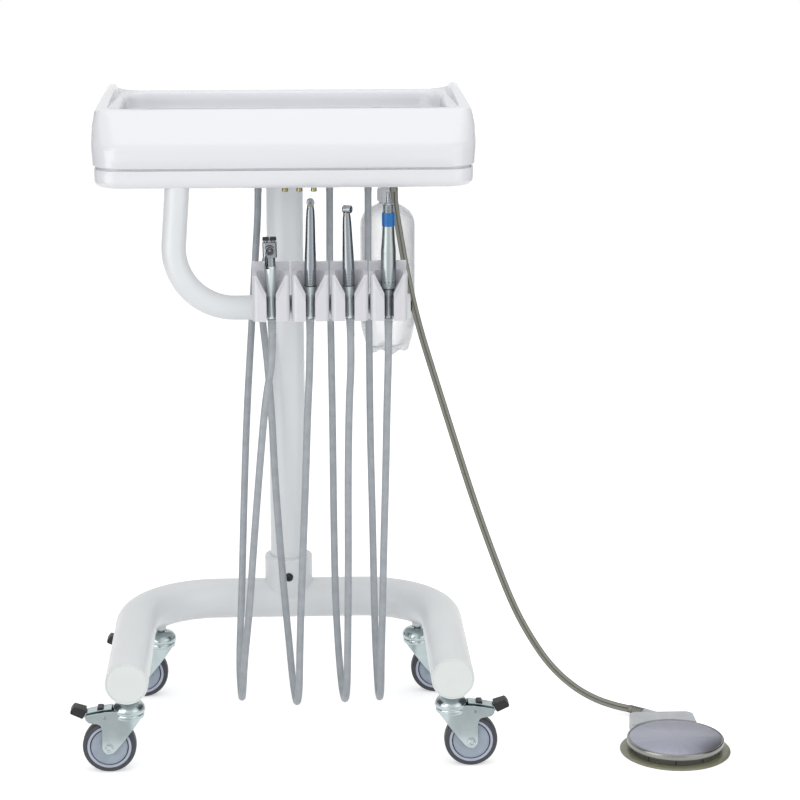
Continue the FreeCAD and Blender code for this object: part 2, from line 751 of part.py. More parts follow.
def holder(index):
    x = holder_x(index)
    block = box(x - HOLD_HALF, x + HOLD_HALF, HOLD_FRONT, HOLD_BACK, HOLD_LOW, HOLD_RIM)
    upright = [e for e in block.Edges if e.BoundBox.ZLength > 10
               and e.CenterOfMass.y < HOLD_FRONT + 1]
    block = block.makeFillet(9.0, upright)
    plate = box(x - HOLD_HALF, x + HOLD_HALF, HOLD_PLATE_FRONT, HOLD_PLATE_BACK,
                HOLD_LOW, HOLD_PLATE_TOP)
    block = block.cut(box(x - 40, x + 40, HOLD_PLATE_BACK, 0, BAR_Z + BAR_R + HOLD_HOOK, FAR))
    hook = Part.makeCylinder(BAR_R + HOLD_HOOK, 2 * HOLD_HALF, V(x - HOLD_HALF, BAR_Y, BAR_Z),
                             V(1, 0, 0))
    hook = hook.common(box(-FAR, FAR, -FAR, FAR, BAR_Z, FAR))
    body = fuse([block, plate, hook])
    bar = Part.makeCylinder(BAR_R, 100, V(x - 50, BAR_Y, BAR_Z), V(1, 0, 0))
    slot = box(x - SLOT_HALF, x + SLOT_HALF, HOLD_FRONT - 1, CUP_Y, HOLD_LOW - 1, HOLD_RIM + 1)
    vee = front_prism([(x - SLOT_HALF, VEE_Z), (x + SLOT_HALF, VEE_Z), (x + VEE_HALF, HOLD_RIM),
                       (x + VEE_HALF, HOLD_RIM + 5), (x - VEE_HALF, HOLD_RIM + 5),
                       (x - VEE_HALF, HOLD_RIM)], HOLD_FRONT - 1, CUP_Y)
    body = cut_all(body, [bar, slot, vee]).removeSplitter()
    sloped = [e for e in body.Edges if e.BoundBox.ZLength > 10 and e.BoundBox.XLength > 5
              and abs(e.CenterOfMass.y - HOLD_FRONT) < 0.1]
    body = body.makeChamfer(VEE_CHAMFER, sloped)
    return body.cut(funnel(index)).removeSplitter()


# ------------------------------------------------------------------ handpieces
def funnel_radius(z):
    return BORE_R + (z - CONE_Z) * (CONE_TOP_R - BORE_R) / (HOLD_RIM - CONE_Z)


def seat_height(radius):
    return CONE_Z + (radius - BORE_R) * (HOLD_RIM - CONE_Z) / (CONE_TOP_R - BORE_R)


def seated(profile, index):
    """Handpiece piece on its holder: turned shape, lifted by the seat gap and leaned."""
    shape = revolve([(r, z + SEAT_GAP) for r, z in profile], holder_x(index), CUP_Y)
    return leaned(shape, index)


def tail(seat_r):
    low_seat = seat_height(BORE_R)
    return [(0, TAIL_Z), (TAIL_R, TAIL_Z), (TAIL_R, low_seat - 4), (BORE_R - 0.4, low_seat - 1),
            (BORE_R, low_seat), (seat_r, seat_height(seat_r))]


def coupling(index):
    profile = tail(SEAT_R) + [(SEAT_R, COUPLING_TOP), (0, COUPLING_TOP)]
    return seated(profile, index)


def turbine(index, head_z, head_turn):
    x = holder_x(index)
    neck = head_z - 8
    low = COUPLING_TOP
    profile = [(0, low), (8.0, low), (8.4, low + 3), (8.4, low + 26), (7.2, low + 62),
               (5.8, neck - 2), (4.6, neck + 1), (0, neck + 3)]
    handle = revolve([(r, z + SEAT_GAP) for r, z in profile], x, CUP_Y)
    front = CUP_Y - TURBINE_HEAD_L * 0.6
    head = cyl_y(TURBINE_HEAD_R, front, front + TURBINE_HEAD_L, x, head_z)
    neck_rod = cyl(4.0, neck, head_z, x, CUP_Y)
    body = fuse([handle, neck_rod, head])
    body = body.cut(cyl_y(BUR_R, front - 1, front + BUR_DEPTH, x, head_z))
    return leaned(turned(body, head_turn, x, CUP_Y), index)


def motor(index):
    s = MOTOR_SEAT_R
    z = seat_height(s)
    profile = tail(s) + [(s, MOTOR_TOP - 75), (s + 0.1, MOTOR_TOP - 74),
                         (s + 0.1, MOTOR_TOP - 35), (8.6, MOTOR_TOP - 10), (8.2, MOTOR_TOP),
                         (0, MOTOR_TOP)]
    print("motor seats up to", round(z, 1))
    return seated(profile, index)


def contra_angle(index):
    x = holder_x(index)
    low = MOTOR_TOP
    profile = [(0, low), (8.8, low), (9.1, low + 2), (9.1, low + 19), (7.8, low + 21),
               (7.8, low + 30), (3.4, low + 33), (2.6, low + 48), (0, low + 48)]
    body = revolve([(r, z + SEAT_GAP) for r, z in profile], x, CUP_Y)
    return leaned(body, index)


def syringe_body(index):
    x = holder_x(index)
    low, top = SYRINGE_BLOCK_LOW, SYRINGE_BLOCK_TOP
    profile = tail(SEAT_R) + [(SEAT_R, CONE_Z + 7), (SYRINGE_R, SYRINGE_SHOULDER),
                              (7.6, SYRINGE_SHOULDER + 5), (7.4, low + 1), (0, low + 1)]
    handle = revolve([(r, z + SEAT_GAP) for r, z in profile], x, CUP_Y)
    head = box(x - 10, x + 10, CUP_Y - 7, CUP_Y + 9, low, top)
    head = head.makeFillet(2.5, [e for e in head.Edges if e.BoundBox.ZLength > 10])
    body = fuse([handle, head])
    for side in (-1, 1):
        body = body.cut(cyl(2.6, top - 8.5, FAR, x + side * 5, CUP_Y + 3))
    foot = SYRINGE_CLIP_LOW
    clip = box(x - 6.5, x - 4.5, CUP_Y - 11, CUP_Y - 7, foot, low + 3)
    body = fuse([body, clip, box(x - 6.5, x - 2.0, CUP_Y - 11, CUP_Y - 7, foot, foot + 2)])
    return leaned(body, index)


def syringe_nozzle(index):
    x = holder_x(index)
    z = SYRINGE_HEAD_Z
    front = CUP_Y - 7
    nut = cyl_y(NUT_R, front - NUT_L + 2, front, x, z)
    collar = cyl_y(NUT_R - 1.6, front - NUT_L, front - NUT_L + 2, x, z)
    body = fuse([nut, collar]).cut(cyl_y(TIP_BORE, front - NUT_L - 1, front - 1, x, z))
    return leaned(body, index)


def syringe_button(index, side):
    x = holder_x(index) + side * 5
    low = SYRINGE_BLOCK_TOP
    stem = cyl(2.5, low - 6, low + 3.5, x, CUP_Y + 3)
    top = box(x - 4.7, x + 4.7, CUP_Y - 5, CUP_Y + 8, low + BUTTON_TRAVEL + 0.5, BUTTON_TOP)
    for k in range(3):
        y = CUP_Y - 3 + 4 * k
        top = top.cut(box(x - 6, x + 6, y, y + 1.2, BUTTON_TOP - 0.8, BUTTON_TOP + 1))
    return leaned(fuse([stem, top]), index)


# ------------------------------------------------------------------ hoses
def tail_end(index, below):
    """Point on the axis of a handpiece, at its tail or the given length below it."""
    x = holder_x(index)
    angle = math.radians(LEAN[index])
    drop = CONE_Z - TAIL_Z - SEAT_GAP + below
    return V(x + drop * math.sin(angle), CUP_Y, CONE_Z - drop * math.cos(angle))


LOOPS = (
    ((-39, 38, 738), (-45, 29, 655), (-52, 10, 550), (-60, -16, 435), (-66, -48, 300),
     (-70, -76, 185), (-74, -98, 105), (-75, -106, 63), (-73, -129, 37), (-71, -163, 37),
     (-69, -186, 63), (-66, -191, 110), (-58, -191, 180), (-50, -194, 285), (-40, -197, 400),
     (-30, -198, 505)),
    ((9.8, 38, 748), (-10, 35, 703), (-32, 22, 658), (-38, 2, 612), (-34, -20, 570),
     (-28, -41, 518), (-23, -55, 450), (-19, -68, 350), (-12, -86, 240), (-4, -102, 140),
     (0, -106, 95), (3, -109, 55), (7, -131, 29), (10, -164, 29), (13, -187, 54),
     (14, -192, 100), (16, -193, 165), (20, -194, 260), (25, -196, 370), (29, -198, 480)),
    ((67, 38, 738), (66, 26, 650), (67, 5, 535), (68, -22, 405), (68, -52, 280),
     (69, -82, 170), (72, -98, 103), (75, -106, 58), (78, -129, 32), (81, -163, 32),
     (83, -186, 57), (84, -191, 105), (85, -192, 170), (86, -194, 270), (86, -197, 385),
     (88, -198, 495)),
    ((124, 38, 738), (123, 26, 650), (124, 5, 535), (124, -22, 405), (126, -50, 285),
     (127, -80, 175), (128, -98, 104), (130, -107, 60), (131, -130, 34), (132, -163, 34),
     (133, -186, 59), (133, -191, 105), (135, -193, 175), (137, -195, 280), (140, -197, 390),
     (142, -198, 500)))

FOOT_ROUTE = ((162, 35, 748), (170, 29, 700), (181, 24, 635), (198, 14, 560), (221, 1, 485),
              (249, -15, 395), (279, -32, 300), (308, -49, 218), (337, -66, 144),
              (363, -81, 97), (391, -97, 58), (424, -116, 31), (456, -135, 17),
              (486, -149, 11), (507, -160, 10))
FOOT_END = (524.0, -176.0, 10.0)


def loop_points(index):
    gland = V(EXIT_X[index], EXIT_Y, PAN_BOTTOM - GLAND_BODY)
    last = [tail_end(index, 60), tail_end(index, 0)]
    return [gland] + [V(*p) for p in LOOPS[index]] + last


def foot_points():
    gland = V(FOOT_EXIT[0], FOOT_EXIT[1], PAN_BOTTOM - GLAND_BODY)
    return [gland] + [V(*p) for p in FOOT_ROUTE] + [V(*FOOT_END)]


def hose(points, radius, name):
    wire = path(points, name)
    solid = tube_along(wire, points, radius)
    ideal = math.pi * radius * radius * wire.Length
    print(name, "volume over section x length", round(solid.Volume / ideal, 4))
    return solid


# ------------------------------------------------------------------ bottle
def bottle_outline(inset):
    r = BOTTLE_R - inset
    low = BOTTLE_LOW + inset
    return [(0, low), (27 - inset, low), (34 - inset, low + 14), (r, low + 42),
            (r, 706), (r - 5, 718), (26 - inset, 731), (BOTTLE_NECK_R - inset, 735),
            (BOTTLE_NECK_R - inset, BOTTLE_NECK_TOP), (0, BOTTLE_NECK_TOP)]


def water_bottle():
    shell = revolve(bottle_outline(0), BOTTLE_AT[0], BOTTLE_AT[1])
    inner = revolve(bottle_outline(BOTTLE_WALL), BOTTLE_AT[0], BOTTLE_AT[1])
    x, y = BOTTLE_AT
    mouth = cyl(BOTTLE_NECK_R - BOTTLE_WALL, BOTTLE_NECK_TOP - 5, BOTTLE_NECK_TOP + 5, x, y)
    return shell.cut(inner).cut(mouth)


def bottle_cap():
    x, y = BOTTLE_AT
    cap = cyl(BOTTLE_CAP_R, BOTTLE_CAP_LOW + 2, BOTTLE_NECK_TOP + 5, x, y)
    cap = cap.cut(cyl(BOTTLE_NECK_R + BOTTLE_CAP_CLEAR, 0, BOTTLE_NECK_TOP, x, y))
    seat = cyl(18, PAN_BOTTOM - 8, PAN_BOTTOM, x, y)
    stem = cyl(11, BOTTLE_NECK_TOP + 4, PAN_BOTTOM - 7, x, y)
    nipple = cyl(GLAND_NECK_R, PAN_BOTTOM - 1, PAN_BOTTOM + 12, x, y)
    dip = cyl(DIP_R, BOTTLE_LOW + 30, BOTTLE_NECK_TOP + 1, x, y)
    return fuse([cap, seat, stem, nipple, dip])


# ------------------------------------------------------------------ foot control
def pedal_base():
    x, y = PEDAL_AT
    flange = cyl(PEDAL_FLANGE_R, 0, PEDAL_FLANGE_T, x, y)
    drum = cyl(DRUM_R, 0, DRUM_TOP, x, y)
    body = fuse([flange, drum])
    body = body.cut(cyl(DRUM_R - DRUM_WALL, PEDAL_FLANGE_T + 1, 100, x, y))
    return body


def pedal_disc():
    x, y = PEDAL_AT
    top = cyl(DISC_R, DISC_RIM, DISC_TOP, x, y)
    top = top.cut(cyl(DISC_R - DISC_WALL, 0, DISC_TOP - DISC_T, x, y))
    stem = cyl(PEDAL_STEM_R, PEDAL_STEM_LOW, DISC_TOP - 1, x, y)
    return fuse([top, stem])


def pedal_valve():
    x, y = PEDAL_AT
    low = PEDAL_FLANGE_T + 1
    top = DISC_TOP - DISC_T - PEDAL_TRAVEL - VALVE_SPARE
    body = cyl(PEDAL_VALVE_R, low, top, x, y)
    floor = PEDAL_STEM_LOW - PEDAL_TRAVEL - SEAL_GAP
    return body.cut(cyl(PEDAL_STEM_R + SWIVEL_CLEAR, floor, 100, x, y))


def pedal_housing():
    x0, x1, y0, y1 = HOUSING
    x, y = PEDAL_AT
    body = rounded_box(x0, x1, y0 - 20, y1, HOUSING_CORNER, 0, HOUSING_TOP)
    direction = V(*FOOT_END) - V(*FOOT_ROUTE[-1])
    gland = Part.makeCylinder(FOOT_GLAND_R, FOOT_GLAND_L, V(*FOOT_END), direction)
    body = fuse([body, gland])
    body = body.cut(cyl(DISC_R + 1.5, 0, 100, x, y))
    return body.cut(cyl(PEDAL_FLANGE_R, -1, PEDAL_FLANGE_T, x, y))


# ------------------------------------------------------------------ all of it
def main():
    os.makedirs("parts", exist_ok=True)
    save("base_frame", base_frame())
    save("tube_end_caps", end_caps())
    save("column", column())
    save("socket_set_screw", set_screw())
    save("castor_stems", castor_stems())
    castors()
    save("head_cover", head_cover())
    save("head_pan", head_pan())
    save("tray_liner", tray_liner())
    save("chassis_plate", chassis_plate())
    save("head_screws", head_screws())
    save("control_block", control_block())
    save("air_regulator", air_regulator())
    save("brass_inlets", brass_inlets())
    save("hose_glands", hose_glands())
    save("holder_bar", holder_bar())
    save("holder_bar_plug", bar_plug())
    for i in range(4):
        save("holder_" + str(i + 1), holder(i))
    save("syringe_body", syringe_body(0))
    save("syringe_nozzle", syringe_nozzle(0))
    save("syringe_air_button", syringe_button(0, -1))
    save("syringe_water_button", syringe_button(0, 1))
    save("turbine_a_coupling", coupling(1))
    save("turbine_a", turbine(1, TURBINE_HEAD_Z[0], TURBINE_HEAD_TURN[0]))
    save("turbine_b_coupling", coupling(2))
    save("turbine_b", turbine(2, TURBINE_HEAD_Z[1], TURBINE_HEAD_TURN[1]))
    save("low_speed_motor", motor(3))
    save("contra_angle", contra_angle(3))
    for i in range(4):
        save("hose_" + str(i + 1), hose(loop_points(i), HOSE_R, "hose " + str(i + 1)))
    save("foot_hose", hose(foot_points(), FOOT_HOSE_R, "foot hose"))
    save("water_bottle", water_bottle())
    save("bottle_cap", bottle_cap())
    save("pedal_base", pedal_base())
    save("pedal_disc", pedal_disc())
    save("pedal_valve", pedal_valve())
    save("pedal_housing", pedal_housing())


main()
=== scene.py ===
"""Portable dental unit: a tray head on a column and a castor base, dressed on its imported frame."""

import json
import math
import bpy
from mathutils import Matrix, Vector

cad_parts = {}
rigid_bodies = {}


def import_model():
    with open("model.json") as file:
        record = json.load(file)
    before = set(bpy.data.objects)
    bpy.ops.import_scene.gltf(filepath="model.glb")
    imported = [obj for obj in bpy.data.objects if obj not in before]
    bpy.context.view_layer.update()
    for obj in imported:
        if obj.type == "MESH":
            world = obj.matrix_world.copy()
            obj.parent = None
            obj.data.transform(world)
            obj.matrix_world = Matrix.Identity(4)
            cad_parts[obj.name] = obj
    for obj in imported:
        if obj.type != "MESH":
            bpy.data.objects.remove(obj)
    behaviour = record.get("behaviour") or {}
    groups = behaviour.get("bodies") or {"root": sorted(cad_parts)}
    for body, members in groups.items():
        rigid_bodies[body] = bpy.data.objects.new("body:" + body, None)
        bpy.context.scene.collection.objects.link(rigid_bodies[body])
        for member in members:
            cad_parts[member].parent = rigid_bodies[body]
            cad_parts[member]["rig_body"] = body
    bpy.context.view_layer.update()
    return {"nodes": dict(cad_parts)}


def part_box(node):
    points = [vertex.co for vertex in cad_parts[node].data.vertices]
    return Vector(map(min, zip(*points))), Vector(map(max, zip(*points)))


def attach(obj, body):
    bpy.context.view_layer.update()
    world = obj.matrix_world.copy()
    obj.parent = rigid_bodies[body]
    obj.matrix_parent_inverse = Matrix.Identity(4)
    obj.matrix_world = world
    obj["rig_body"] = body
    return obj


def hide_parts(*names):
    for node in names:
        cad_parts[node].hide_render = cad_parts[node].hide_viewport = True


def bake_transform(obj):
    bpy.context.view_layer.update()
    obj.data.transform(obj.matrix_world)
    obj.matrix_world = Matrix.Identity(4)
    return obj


bl_info = {
    "name": "Portable dental unit",
    "version": (1, 0, 0),
    "blender": (4, 5, 0),
    "location": "3D View > Sidebar > Dental unit",
    "description": "Dresses the packed frame of a portable dental unit, piece by piece",
    "category": "Add Mesh",
}

import bmesh
import bpy
from bpy.props import FloatProperty, FloatVectorProperty, PointerProperty
from bpy.types import Operator, Panel, PropertyGroup
from mathutils import Euler, Matrix, Vector

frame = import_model()

MM = 0.001

# Places that the frame fixes, in millimetres and degrees.
LEG_X, FRONT_Y, TUBE_Z = 226.0, -365.0, 140.0
STEMS = {"front_left": (-LEG_X, -331.0), "front_right": (LEG_X, -331.0),
         "rear_left": (-194.3, -37.5), "rear_right": (194.3, -37.5)}
UNBRAKED = "rear_right"
TRAIL, AXLE_Z = 28.0, 37.5
BRAKE_PIVOT = (33.0, 0.0, 83.0)
PLATE_Z, PAN_Z = 792.0, 797.0
INLET_X, INLET_Y = (0.7, 21.3, 42.0), -80.0
GLANDS = ((-39, 38), (9.8, 38), (67, 38), (124, 38), (162, 35))
BAR_START, BAR_CORNER, BAR_END = (-150.5, -150.0, 800.0), (-164.0, -150.0, 624.0), (177.0, -150.0, 624.0)
HOLDER_X = (-20.6, 34.3, 89.2, 144.1)
LEAN = (1.0, -0.6, 1.6, 0.0)
CUP_Y, SEAT_Z, TAIL_Z, SEAT_LIFT = -196.0, 651.0, 617.0, 0.03
NOZZLE_Y, NOZZLE_Z = -203.0, 716.0
BOTTLE = (155.0, 85.0)
FOOT_CONTROL = (551.0, -298.0)

# Corners sharper than these stay creases, in degrees; points nearer than these are one, in metres.
CREASE, MOULDED_CREASE, TUBE_CREASE = 38.0, 34.0, 60.0
SAME_POINT, SAME_FORM_POINT, SAME_NODE_POINT = 1e-6, 2e-6, 2e-5

# Rounding of small edges, in metres.
GRIP_EDGE, METAL_EDGE, KEY_EDGE, SMALL_EDGE = 0.0001, 0.0002, 0.00025, 0.0003
HUB_EDGE, BLOCK_EDGE, PLATE_EDGE, HOUSING_EDGE = 0.0005, 0.0006, 0.0008, 0.0012


# ------------------------------------------------------------------ sizes and colours
def colour_property(name, description, default):
    return FloatVectorProperty(name=name, description=description, default=default,
                               subtype="COLOR", size=3, min=0.0, max=1.0)


def size_property(name, description, millimetres):
    return FloatProperty(name=name, description=description, default=millimetres * MM,
                         min=0.0, subtype="DISTANCE", unit="LENGTH", precision=4)


class DentalUnitColours(PropertyGroup):
    """Colours of the finishes."""
    shell: colour_property("Head shell", "White gloss plastic of the head and the holders",
                           (0.82, 0.833, 0.865))
    # The holders are the head's white plastic; this darker grey is painted shade, for the side light that leaves them
    # greyer than the head.
    holder: colour_property("Holders", "Pale grey-lilac plastic of the holders", (0.70, 0.70, 0.74))
    paint: colour_property("Tube paint", "White paint of the column, the base and the bent tube",
                           (0.80, 0.825, 0.84))
    cap: colour_property("End caps", "Off-white plastic of the caps on the base tube",
                         (0.78, 0.82, 0.805))
    zinc: colour_property("Zinc plate", "Plated steel of the castor forks", (0.48, 0.55, 0.56))
    tyre: colour_property("Tyre", "Grey rubber of the wheels", (0.045, 0.05, 0.06))
    hub: colour_property("Hub", "Blue-grey plastic of the wheel centres", (0.34, 0.40, 0.47))
    hub_ring: colour_property("Hub ring", "Paler ring around the wheel centres", (0.46, 0.49, 0.60))
    steel: colour_property("Instrument steel", "Satin steel of the handpieces", (0.26, 0.285, 0.305))
    grey_alloy: colour_property("Syringe alloy", "Greenish anodised alloy", (0.64, 0.70, 0.70))
    motor: colour_property("Motor alloy", "Satin grey alloy of the low-speed motor", (0.385, 0.425, 0.43))
    blue: colour_property("Blue ring", "Ring that marks the straight drive", (0.003, 0.14, 0.43))
    brass: colour_property("Brass", "Supply fittings", (0.40, 0.36, 0.21))
    hose: colour_property("Instrument hoses", "Grey silicone", (0.37, 0.40, 0.43))
    foot_hose: colour_property("Foot hose", "Olive-grey twin hose", (0.215, 0.215, 0.18))
    clear: colour_property("Tray liner", "Clear plastic of the tray liner", (0.90, 0.92, 0.97))
    bottle: colour_property("Bottle", "Clear plastic of the bottle", (0.60, 0.62, 0.66))
    # This black also paints shade: the floor of the hub groove and the slots in the foot control drum.
    black: colour_property("Black plastic", "Brake pedals, plugs and glands", (0.012, 0.013, 0.014))
    olive: colour_property("Foot control skirt", "Smoky translucent skirt", (0.22, 0.22, 0.15))
    disc: colour_property("Foot control disc", "Turned steel", (0.35, 0.36, 0.43))
    rim: colour_property("Foot control rim", "Brushed edge of the disc", (0.27, 0.27, 0.26))
    housing: colour_property("Hose housing", "Grey plastic of the foot control", (0.50, 0.52, 0.54))
    drum: colour_property("Foot control drum", "Dark wall under the disc", (0.09, 0.09, 0.075))
    floor: colour_property("Floor", "Studio floor and backdrop", (1.0, 1.0, 1.0))


class DentalUnitSizes(PropertyGroup):
    """Sizes of the finer forms, which the frame leaves open."""
    edge: size_property("Edge softness", "Rounding of moulded edges", 1.0)
    sheet_edge: size_property("Sheet edge", "Rounding of pressed sheet edges", 0.35)
    hose: size_property("Hose diameter", "Outside diameter of the instrument hoses", 10.5)
    twin_width: size_property("Foot hose width", "Width of the twin hose", 11.2)
    twin_height: size_property("Foot hose height", "Height of the twin hose", 5.6)
    relief: size_property("Strain relief", "Length of the sleeves on the hoses", 26.0)


def colours():
    return bpy.context.scene.dental_unit_colours


def sizes():
    return bpy.context.scene.dental_unit_sizes


# ------------------------------------------------------------------ finishes
def node(owner, kind, operation=None, **sockets):
    """A new shader node of a material or the surround, with its sockets set."""
    made = owner.node_tree.nodes.new(kind)
    if operation:
        made.operation = operation
    for name, value in sockets.items():
        made.inputs[name.replace("_", " ")].default_value = value
    return made


def wire(owner, out, into):
    owner.node_tree.links.new(out, into)


def shader_of(material):
    return material.node_tree.nodes["Principled BSDF"]


def base_finish(name, colour, roughness, metallic=0.0, **sockets):
    material = bpy.data.materials.new(name)
    material.use_nodes = True
    values = {"Base_Color": (*colour, 1.0), "Roughness": roughness, "Metallic": metallic, **sockets}
    for socket, value in values.items():
        shader_of(material).inputs[socket.replace("_", " ")].default_value = value
    material.diffuse_color = (*colour, 1.0)
    return material


def grain(material, scale, stretch=(1.0, 1.0, 1.0), detail=3.0):
    """Noise on the piece's own coordinates; stretch below one draws it out along that axis."""
    place = node(material, "ShaderNodeTexCoord")
    mapping = node(material, "ShaderNodeMapping", Scale=stretch)
    noise = node(material, "ShaderNodeTexNoise", Scale=scale, Detail=detail, Roughness=0.55)
    wire(material, place.outputs["Object"], mapping.inputs["Vector"])
    wire(material, mapping.outputs["Vector"], noise.inputs["Vector"])
    return noise.outputs["Fac"]


def two_tone(material, factor, low, high):
    """Base colour that runs between two stops, each a position and a colour."""
    ramp = node(material, "ShaderNodeValToRGB")
    for stop, (position, colour) in zip(ramp.color_ramp.elements, (low, high)):
        stop.position = position
        stop.color = [min(1.0, c) for c in colour] + [1.0]
    wire(material, factor, ramp.inputs["Fac"])
    wire(material, ramp.outputs["Color"], shader_of(material).inputs["Base Color"])


def tint(material, factor, colour, spread):
    """Colour that wanders between a darker and a lighter shade."""
    two_tone(material, factor, (0.3, [c * (1 - spread) for c in colour]), (0.7, [c * (1 + spread) for c in colour]))


def sheen_spread(material, factor, low, high):
    """Roughness between two values."""
    span = node(material, "ShaderNodeMapRange", From_Min=0.3, From_Max=0.7, To_Min=low, To_Max=high)
    wire(material, factor, span.inputs["Value"])
    wire(material, span.outputs["Result"], shader_of(material).inputs["Roughness"])


def relief(material, factor, depth, strength):
    """Fine surface height in metres."""
    bump = node(material, "ShaderNodeBump", Strength=strength, Distance=depth)
    wire(material, factor, bump.inputs["Height"])
    wire(material, bump.outputs["Normal"], shader_of(material).inputs["Normal"])


def textured(material, texture, low, high, depth, strength):
    """Polish between two values and fine relief, both from one texture."""
    sheen_spread(material, texture, low, high)
    relief(material, texture, depth, strength)
    return material


def moulded_gloss(name, colour):
    """Polished moulding with a faint ripple and hardly any haze."""
    material = base_finish(name, colour, 0.26, Coat_Weight=0.35, Coat_Roughness=0.08)
    cloud = grain(material, 5.0, detail=1.0)
    tint(material, cloud, colour, 0.004)
    sheen_spread(material, cloud, 0.25, 0.265)
    relief(material, grain(material, 90.0), 0.000004, 0.2)
    return material


def powder_paint(name, colour):
    """Baked paint with a fine orange peel."""
    material = base_finish(name, colour, 0.36, Coat_Weight=0.2, Coat_Roughness=0.2)
    tint(material, grain(material, 14.0, detail=2.0), colour, 0.015)
    return textured(material, grain(material, 700.0, detail=2.0), 0.30, 0.42, 0.00005, 0.5)


def matte_moulding(name, colour, roughness, spread=0.08):
    """Textured moulding."""
    material = base_finish(name, colour, roughness)
    tint(material, grain(material, 60.0), colour, spread)
    return textured(material, grain(material, 1500.0, detail=2.0), roughness - 0.06, roughness + 0.08, 0.00006, 0.6)


def zinc_plate(name, colour):
    """Bright plated sheet with drifting blue-green tone and drawing marks."""
    material = base_finish(name, colour, 0.22, 1.0)
    darker, lighter = ([c * f for c, f in zip(colour, factors)] for factors in ((0.92, 0.94, 0.95), (1.08, 1.06, 1.05)))
    two_tone(material, grain(material, 38.0, detail=4.0), (0.32, darker), (0.68, lighter))
    sheen_spread(material, grain(material, 90.0, (1.0, 1.0, 0.2)), 0.16, 0.26)
    relief(material, grain(material, 900.0, (1.0, 1.0, 0.15)), 0.00001, 0.3)
    return material


def satin_metal(name, colour, roughness, spread, along=(1.0, 1.0, 0.05)):
    """Satin metal whose polish runs one way, with painted reflection: its tone runs in light and dark bands along the
    same streaks.
    """
    material = base_finish(name, colour, roughness, 1.0)
    brushing_and_painted_reflection = grain(material, 260.0, along, 4.0)
    # Painted reflection: light and dark bands along the brushing, put into the base colour.
    tint(material, brushing_and_painted_reflection, colour, spread)
    return textured(material, brushing_and_painted_reflection, roughness - 0.04, roughness + 0.06, 0.00001, 0.3)


def dusty(material, roughness):
    """Fine bloom over rubber."""
    return textured(material, grain(material, 1100.0, detail=2.0), roughness - 0.08, roughness + 0.08, 0.00005, 0.5)


def soft_rubber(name, colour, roughness):
    """Silicone or tyre rubber with a dusty bloom."""
    material = base_finish(name, colour, roughness, Sheen_Weight=0.08)
    tint(material, grain(material, 70.0), colour, 0.10)
    return dusty(material, roughness)


def rubber_with_painted_seam_shade(name, colour, roughness):
    """Twin hose wall with painted shade: darker towards its seam and its edges, and lighter where it faces the view."""
    material = base_finish(name, colour, roughness, Sheen_Weight=0.08)
    facing = node(material, "ShaderNodeLayerWeight", Blend=0.5)
    # Painted shade in the groove between the tubes and at their edges, and painted light where they face the view.
    two_tone(material, facing.outputs["Facing"], (0.14, [c * 1.25 for c in colour]), (0.52, [c * 0.10 for c in colour]))
    return dusty(material, roughness)


def clear_plastic(name, colour, thin, thick):
    """Clear moulding with slight flow lines, denser where it is seen edge on."""
    material = base_finish(name, colour, 0.06, Coat_Weight=1.0, Coat_Roughness=0.02)
    flow = grain(material, 26.0, (1.0, 1.0, 0.3), 2.0)
    textured(material, flow, 0.06, 0.11, 0.0004, 0.2)
    facing = node(material, "ShaderNodeLayerWeight", Blend=0.35)
    density = node(material, "ShaderNodeMapRange", To_Min=thin, To_Max=thick)
    wire(material, facing.outputs["Facing"], density.inputs["Value"])
    wire(material, density.outputs["Result"], shader_of(material).inputs["Alpha"])
    return material


def turned_disc(name, colour):
    """Faced plate: fine turning rings, and soft rays of painted highlight across them, where turned metal reflects
    light in radial streaks.
    """
    material = base_finish(name, colour, 0.34, 1.0)
    place = node(material, "ShaderNodeTexCoord")
    shift = node(material, "ShaderNodeMapping", Location=-sum(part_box("pedal_disc"), Vector()) / 2)
    wire(material, place.outputs["Object"], shift.inputs["Vector"])
    split = node(material, "ShaderNodeSeparateXYZ")
    wire(material, shift.outputs["Vector"], split.inputs["Vector"])
    turn = node(material, "ShaderNodeMath", "ARCTAN2")
    wire(material, split.outputs["Y"], turn.inputs[0])
    wire(material, split.outputs["X"], turn.inputs[1])
    # Painted highlight: these rays lighten and darken the base colour by angle around the centre.
    rays = node(material, "ShaderNodeTexNoise", Scale=3.2, Detail=5.0, Roughness=0.6)
    rays.noise_dimensions = "1D"
    wire(material, turn.outputs["Value"], rays.inputs["W"])
    tint(material, rays.outputs["Fac"], colour, 0.07)
    rings = node(material, "ShaderNodeTexWave", Scale=620.0, Distortion=0.6)
    rings.wave_type = "RINGS"
    rings.rings_direction = "Z"
    wire(material, shift.outputs["Vector"], rings.inputs["Vector"])
    return textured(material, rings.outputs["Fac"], 0.28, 0.42, 0.00002, 0.4)


FINISHES = {}


